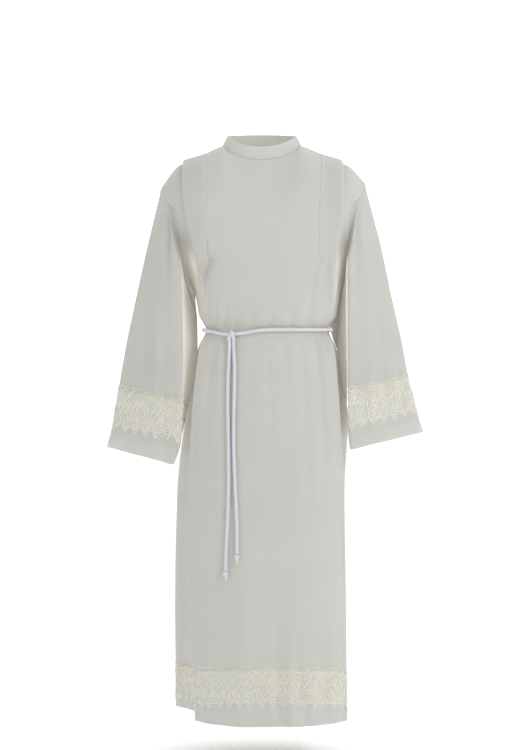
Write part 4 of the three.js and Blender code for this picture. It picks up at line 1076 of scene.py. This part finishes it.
def lace_net(name, node, band):
    per = 12
    cols = band.count * per + (0 if band.wrap else 1)
    u = np.arange(cols) * band.p / per
    ph = np.abs((np.mod(u, band.p) / band.p) - 0.5) * 2          # 0 on the axis, 1 between
    low = lerp(96.4, 82.6, ph ** 0.9)
    rows = 12
    U = np.broadcast_to(u, (rows, cols)); V = np.linspace(0, 1, rows)[:, None] * low[None, :]
    P, Nn = band.at(U.ravel(), V.ravel())
    uv = np.stack([U * MM, V * MM], -1)
    rise = np.full((rows, cols), 0.42); rise[0] = 0.24; rise[-1] = 0.30
    ob, _, _ = shell(name, P.reshape(rows, cols, 3), 0.4, M_NET, wrap=band.wrap, normals=Nn.reshape(rows, cols, 3), lift=rise, uv=uv)
    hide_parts(node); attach(ob, "root")
    return ob


def panel_band(panel, rows=26):
    lv_top = np.array([lace_line("top", panel, f) for f in COLSHARE])
    lv_bot = lv_top - LACE_H
    G, lev, N = PANELS[panel]["outer"], np.array(LEVELS), PANELS[panel]["N"]
    out = np.zeros((rows, G.shape[1], 3)); nor = np.zeros_like(out)
    for r in range(rows):
        z = lerp(lv_top, lv_bot, r / (rows - 1))
        k = np.interp(-z, -lev, np.arange(len(lev)))
        i = np.minimum(k.astype(int), len(lev) - 2); f = (k - i)[:, None]
        c = np.arange(G.shape[1])
        out[r] = G[i, c] * (1 - f) + G[i + 1, c] * f
        nor[r] = N[i, c] * (1 - f) + N[i + 1, c] * f
    return Band(out, nor, False)


for panel in ("front", "back"):
    band = panel_band(panel)
    net = lace_net(f"lace_net_{panel}", f"lace_hem_{panel}", band)
    cords = lace_cords(f"lace_cords_{panel}", band, 21 if panel == "front" else 22)
for side in ("left", "right"):
    sl = SLEEVES[side]
    m = (sl["S"] >= 0.760) & (sl["S"] <= 0.934)
    band = Band(sl["outer"][m], sl["N"][m], True)
    net = lace_net(f"lace_net_sleeve_{side}", f"lace_sleeve_{side}", band)
    cords = lace_cords(f"lace_cords_sleeve_{side}", band, 23 if side == "left" else 24)

# ------------------------------------------------------------------ cincture
def arc_resample(P, step, closed=False):
    P = np.array(P, float)
    if closed:
        P = np.vstack([P, P[:1]])
    d = np.concatenate([[0], np.cumsum(np.linalg.norm(np.diff(P, axis=0), axis=1))])
    n = max(2, int(round(d[-1] / step)))
    s = np.linspace(0, d[-1], n + 1)
    out = np.stack([np.interp(s, d, P[:, i]) for i in range(3)], 1)
    return out[:-1] if closed else out


def frames(P, closed=False):
    """Turning-free frames along a path."""
    T = np.gradient(P, axis=0) if not closed else (np.roll(P, -1, 0) - np.roll(P, 1, 0))
    T /= np.maximum(np.linalg.norm(T, axis=1, keepdims=True), 1e-9)
    ref = np.array([0, 0, 1.0]) if abs(T[0][2]) < 0.9 else np.array([1.0, 0, 0])
    a = ref - T[0] * ref.dot(T[0]); a /= np.linalg.norm(a)
    A = [a]
    for i in range(1, len(P)):
        v = A[-1] - T[i] * A[-1].dot(T[i])
        A.append(v / max(np.linalg.norm(v), 1e-9))
    A = np.array(A)
    return T, A, np.cross(T, A)


def rope_mesh(name, path, radius, lobes=3, pitch=20.0, step=1.6, sides=24, ends=(True, True), wob=0.0, seed=1, hand=1):
    """A laid rope: a tube whose section has lobes that turn as it runs."""
    P = arc_resample(path, step)
    T, A, B = frames(P)
    n = len(P)
    th = np.linspace(0, 2 * math.pi, sides, endpoint=False)
    s = np.arange(n) * step
    rg = np.random.default_rng(seed)
    verts = []
    for i in range(n):
        ph = hand * 2 * math.pi * s[i] / pitch
        k = np.abs(np.cos((th - ph) * lobes / 2.0))
        rr = radius * (0.80 + 0.20 * k ** 0.75)
        e = 1.0
        if ends[0]: e = min(e, math.sqrt(max(0.0, 1 - (1 - min(1, s[i] / radius)) ** 2)) * 0.9 + 0.1)
        if ends[1]: e = min(e, math.sqrt(max(0.0, 1 - (1 - min(1, (s[-1] - s[i]) / radius)) ** 2)) * 0.9 + 0.1)
        rr = rr * e * (1 + wob * math.sin(s[i] * 0.11 + seed))
        verts.append(P[i] + np.outer(rr * np.cos(th), A[i]) + np.outer(rr * np.sin(th), B[i]))
    V = np.vstack(verts)
    i, j = np.meshgrid(np.arange(n - 1), np.arange(sides), indexing="ij")
    j2 = (j + 1) % sides
    F = np.stack([i * sides + j, (i + 1) * sides + j, (i + 1) * sides + j2, i * sides + j2], -1).reshape(-1, 4).tolist()
    F = [f[::-1] for f in F]
    V = np.vstack([V, P[0], P[-1]])
    c0, c1 = n * sides, n * sides + 1
    for j in range(sides):
        F.append([c0, j, (j + 1) % sides][::-1])
        F.append([c1, (n - 1) * sides + (j + 1) % sides, (n - 1) * sides + j][::-1])
    me = bpy.data.meshes.new(name)
    me.from_pydata((V * MM).tolist(), [], F)
    me.polygons.foreach_set("use_smooth", [True] * len(me.polygons))
    me.materials.append(M_ROPE)
    me.validate(); me.update()
    import bmesh
    bm = bmesh.new(); bm.from_mesh(me); bmesh.ops.recalc_face_normals(bm, faces=bm.faces); bm.to_mesh(me); bm.free()
    ob = bpy.data.objects.new(name, me)
    scene.collection.objects.link(ob)
    return ob


def skirt_y(x, z):
    """Outer face of the front skirt at a place."""
    row = PANELS["front"]
    lev = np.array(LEVELS)
    i = int(np.argmin(np.abs(lev - z)))
    line = row["outer"][i]
    m = np.abs(line[:, 0] - x) < 40
    return float(np.interp(x, *zip(*sorted((p[0], p[1]) for p in line[m]))))


ROPE_R = 4.4


def waist_path():
    """The loop round the waist, from one side of the knot to the other."""
    ring = []
    for panel, side, names in (("front", "left", ["c", "m1", "m2", "n", "s", "se", "e0", "h", "a"]),
                               ("back", "left", ["h", "e0", "se", "s", "n", "m2", "m1", "c"]),
                               ("back", "right", ["m1", "m2", "n", "s", "se", "e0", "h", "a"]),
                               ("front", "right", ["h", "e0", "se", "s", "n", "m2", "m1"])):
        pts = dict(zip(HALF, level_points(panel, side, WAIST_Z)))
        ring += [np.array(pts[n]) for n in names]
    m, out = len(ring), []
    for i in range(m):
        d = ring[(i + 1) % m] - ring[(i - 1) % m]
        n = np.array([-d[1], d[0], 0.0]); n /= np.linalg.norm(n)
        if n[0] * (ring[i][0] - 11) + n[1] * ring[i][1] < 0:
            n = -n
        p = ring[i] + n * (ROPE_R + 2.2)
        if p[1] < -40:
            p = p + np.array([0, 0, -13 * math.exp(-(((p[0] - KNOT["x"]) / 46) ** 2))])
        out.append(p)
    return out


WAIST = waist_path()
KNOT_Y = min((p for p in WAIST if p[1] < 0), key=lambda p: abs(p[0] - KNOT["x"]))[1]
i0 = next(i for i, p in enumerate(WAIST) if p[1] < -40 and p[0] < KNOT["x"] - 12)
order = [WAIST[(i0 + i) % len(WAIST)] for i in range(len(WAIST))]
order = [p for p in order if not (p[1] < -40 and abs(p[0] - KNOT["x"]) < 18)]
kx, kz = KNOT["x"], KNOT["z"]
order = [np.array([kx - 2, KNOT_Y - 0.5, kz + 3])] + order + [np.array([kx + 2, KNOT_Y - 1.0, kz + 3])]
path = spline(order, [10] * (len(order) - 1))
waist = rope_mesh("cincture_round_waist", path, ROPE_R, lobes=3, pitch=24, seed=3)
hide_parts("cincture_waist"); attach(waist, "root")

# knot: the rope turned twice round itself, one turn lying over the other
def ring_path(cx, cy, cz, rx, ry, rz, tilt, turns=1.12, start=-2.2, n=60, rise=0.0):
    out = []
    for i in range(n + 1):
        a = start + turns * 2 * math.pi * i / n
        x, y, z = 0.0 + rise * (i / n - 0.5), -ry * math.cos(a), rz * math.sin(a)
        ct, st = math.cos(tilt), math.sin(tilt)
        out.append((cx + x * ct - z * st * 1.0, cy + y, cz + x * st + z * ct))
    return out


knot_a = rope_mesh("cincture_knot_turn_a", ring_path(kx + 2.8, KNOT_Y - 1.6, kz + 0.6, 0, 6.6, 8.6, 0.30, rise=3.0), 4.1, pitch=22, seed=5)
knot_b = rope_mesh("cincture_knot_turn_b", ring_path(kx - 4.6, KNOT_Y - 1.2, kz - 1.4, 0, 5.6, 7.4, -0.42, rise=-2.0), 3.9, pitch=22, seed=6, hand=-1)
knot_c = rope_mesh("cincture_knot_core", [(kx + 6.0, KNOT_Y - 1.5, kz + 5), (kx + 1, KNOT_Y - 4, kz + 1), (kx - 4, KNOT_Y - 4, kz - 5), (kx - 5.6, KNOT_Y - 3, kz - 12)], 3.9, pitch=22, seed=7)
for o in (knot_a, knot_b, knot_c):
    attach(o, "root")
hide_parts("cincture_knot")

# tails, each with a knot tied at its end
def tail_path(dx, length, key):
    top, n, out = kz - 9.0, 40, []
    for i in range(n + 1):
        v = i / n
        z = top - length * v
        swing = (-1 if key == "a" else 1) * (3 * v + 2.4 * math.sin(v * 7.5 + (0 if key == "a" else 1.1)))
        x = kx + dx * (0.85 + 0.65 * v) + swing * smooth(v * 6)
        y = skirt_y(x, min(z, WAIST_Z - 14)) - ROPE_R - 1.4
        y = min(y, lerp(KNOT_Y - 3.5, y, smooth(v * 14)))
        out.append((x, y, z))
    return out


def relax(P, times=6):
    P = np.array(P, float)
    for _ in range(times):
        P[1:-1, 1] = (P[:-2, 1] + P[1:-1, 1] * 2 + P[2:, 1]) / 4
    return P


for key, dx, length in (("a", -5.4, 540.0), ("b", 5.4, 500.0)):
    P = relax(tail_path(dx, length, key))
    P = arc_resample(spline(P, [6] * (len(P) - 1)), 4.0)
    tail = rope_mesh(f"cincture_tail_{key}_rope", P, 4.2, pitch=24, ends=(False, False), seed=8 if key == "a" else 9)
    e = P[-1]
    kn = rope_mesh(f"cincture_end_knot_{key}", [(e[0] + 3.4 * math.cos(t) * (1 - 0.1 * t / 6), e[1] - 2.2 + 3.4 * math.sin(t), e[2] - 1.0 - 11.0 * t / (4 * math.pi))
                                                for t in np.linspace(0, 4 * math.pi, 60)], 4.0, pitch=18, seed=11)
    ta = rope_mesh(f"cincture_tassel_{key}", [(e[0], e[1] - 2.0, e[2] - 9), (e[0] + 0.6, e[1] - 2.6, e[2] - 16), (e[0] - 0.4, e[1] - 2.2, e[2] - 22)], 3.9, pitch=20, seed=12)
    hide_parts(f"cincture_tail_{key}"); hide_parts(f"cincture_end_{key}")
    for o in (tail, kn, ta):
        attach(o, "root")
    L = float(np.linalg.norm(np.diff(P, axis=0), axis=1).sum()) * MM

# ------------------------------------------------------------------ floor and light
KEY = 56.0
FRONT_LIGHT, BACK_LIGHT, TOP_LIGHT, SIDE_LIGHT = 0.35, 1.66, 0.58, 0.56
# light goes on through several layers of thin cloth
scene.cycles.max_bounces, scene.cycles.diffuse_bounces, scene.cycles.transmission_bounces = 18, 10, 14
me = bpy.data.meshes.new("floor")
s = 80.0
zf = (HEM_Z - 100) * MM
me.from_pydata([(-s, -s, zf), (s, -s, zf), (s, s, zf), (-s, s, zf)], [], [(0, 1, 2, 3)])
floor = bpy.data.objects.new("floor", me)
scene.collection.objects.link(floor)
mf, nt, b = new_material("floor")
nz = nt.nodes.new("ShaderNodeTexNoise"); nz.inputs["Scale"].default_value = 2.0
rp = nt.nodes.new("ShaderNodeValToRGB")
rp.color_ramp.elements[0].color = (0.97, 0.97, 0.97, 1); rp.color_ramp.elements[1].color = (0.98, 0.98, 0.98, 1)
link(nt, nz.outputs["Fac"], rp.inputs["Fac"]); link(nt, rp.outputs["Color"], b.inputs["Base Color"])
b.inputs["Roughness"].default_value = 0.9
me.materials.append(mf)

world = bpy.data.worlds.new("world")
scene.world = world
world.use_nodes = True
wt = world.node_tree
wn = wt.nodes
bg = wn["Background"]
geo = wn.new("ShaderNodeTexCoord")
sp = wn.new("ShaderNodeSeparateXYZ"); link(wt, geo.outputs["Generated"], sp.inputs["Vector"])


def ramp_of(tree, source, lo, hi, a, b):
    r = tree.nodes.new("ShaderNodeMapRange")
    r.interpolation_type = "SMOOTHSTEP"
    r.inputs["From Min"].default_value, r.inputs["From Max"].default_value = lo, hi
    r.inputs["To Min"].default_value, r.inputs["To Max"].default_value = a, b
    link(tree, source, r.inputs["Value"])
    return r.outputs["Result"]


front_back = ramp_of(wt, sp.outputs["Y"], 0.05, 0.80, FRONT_LIGHT, BACK_LIGHT)
hue = wn.new("ShaderNodeValToRGB")
hue.color_ramp.elements[0].position = 0.35; hue.color_ramp.elements[0].color = (0.95, 0.975, 1.0, 1)
hue.color_ramp.elements[1].position = 0.65; hue.color_ramp.elements[1].color = (1.0, 1.0, 1.0, 1)
link(wt, ramp_of(wt, sp.outputs["Y"], -1.0, 1.0, 0.0, 1.0), hue.inputs["Fac"])
overhead = ramp_of(wt, sp.outputs["Z"], 0.28, 0.85, 0.0, TOP_LIGHT)
ax = wn.new("ShaderNodeMath"); ax.operation = "ABSOLUTE"; link(wt, sp.outputs["X"], ax.inputs[0])
side = ramp_of(wt, ax.outputs[0], 0.45, 0.95, 0.0, SIDE_LIGHT)
sidecut = ramp_of(wt, sp.outputs["Y"], 0.3, 0.8, 1.0, 0.0)
mul = wn.new("ShaderNodeMath"); mul.operation = "MULTIPLY"; link(wt, side, mul.inputs[0]); link(wt, sidecut, mul.inputs[1])
s1 = wn.new("ShaderNodeMath"); s1.operation = "ADD"; link(wt, front_back, s1.inputs[0]); link(wt, overhead, s1.inputs[1])
s2 = wn.new("ShaderNodeMath"); s2.operation = "ADD"; link(wt, s1.outputs[0], s2.inputs[0]); link(wt, mul.outputs[0], s2.inputs[1])
link(wt, hue.outputs["Color"], bg.inputs["Color"])
link(wt, s2.outputs[0], bg.inputs["Strength"])



def area(name, loc, target, size, power, color=(1, 1, 1)):
    d = bpy.data.lights.new(name, "AREA")
    d.shape = "RECTANGLE"; d.size, d.size_y = size
    d.energy = power; d.color = color
    o = bpy.data.objects.new(name, d)
    o.location = loc
    o.rotation_euler = (Vector(target) - Vector(loc)).to_track_quat("-Z", "Y").to_euler()
    scene.collection.objects.link(o)
    return o


area("soft_key", (2.5, -3.3, 1.8), (0, 0, -0.6), (1.0, 1.6), KEY, (0.98, 0.985, 1.0))
# faint fill low in the gap between each sleeve and the body
for name, x, z, tall, power in (("fill_left", -0.177, -0.44, 0.36, 0.042), ("fill_right", 0.192, -0.44, 0.36, 0.040)):
    o = area(name, (x, -0.072, z), (x, 0.5, z), (0.016, tall), power, (1.0, 0.97, 0.90))
    o.visible_camera = False
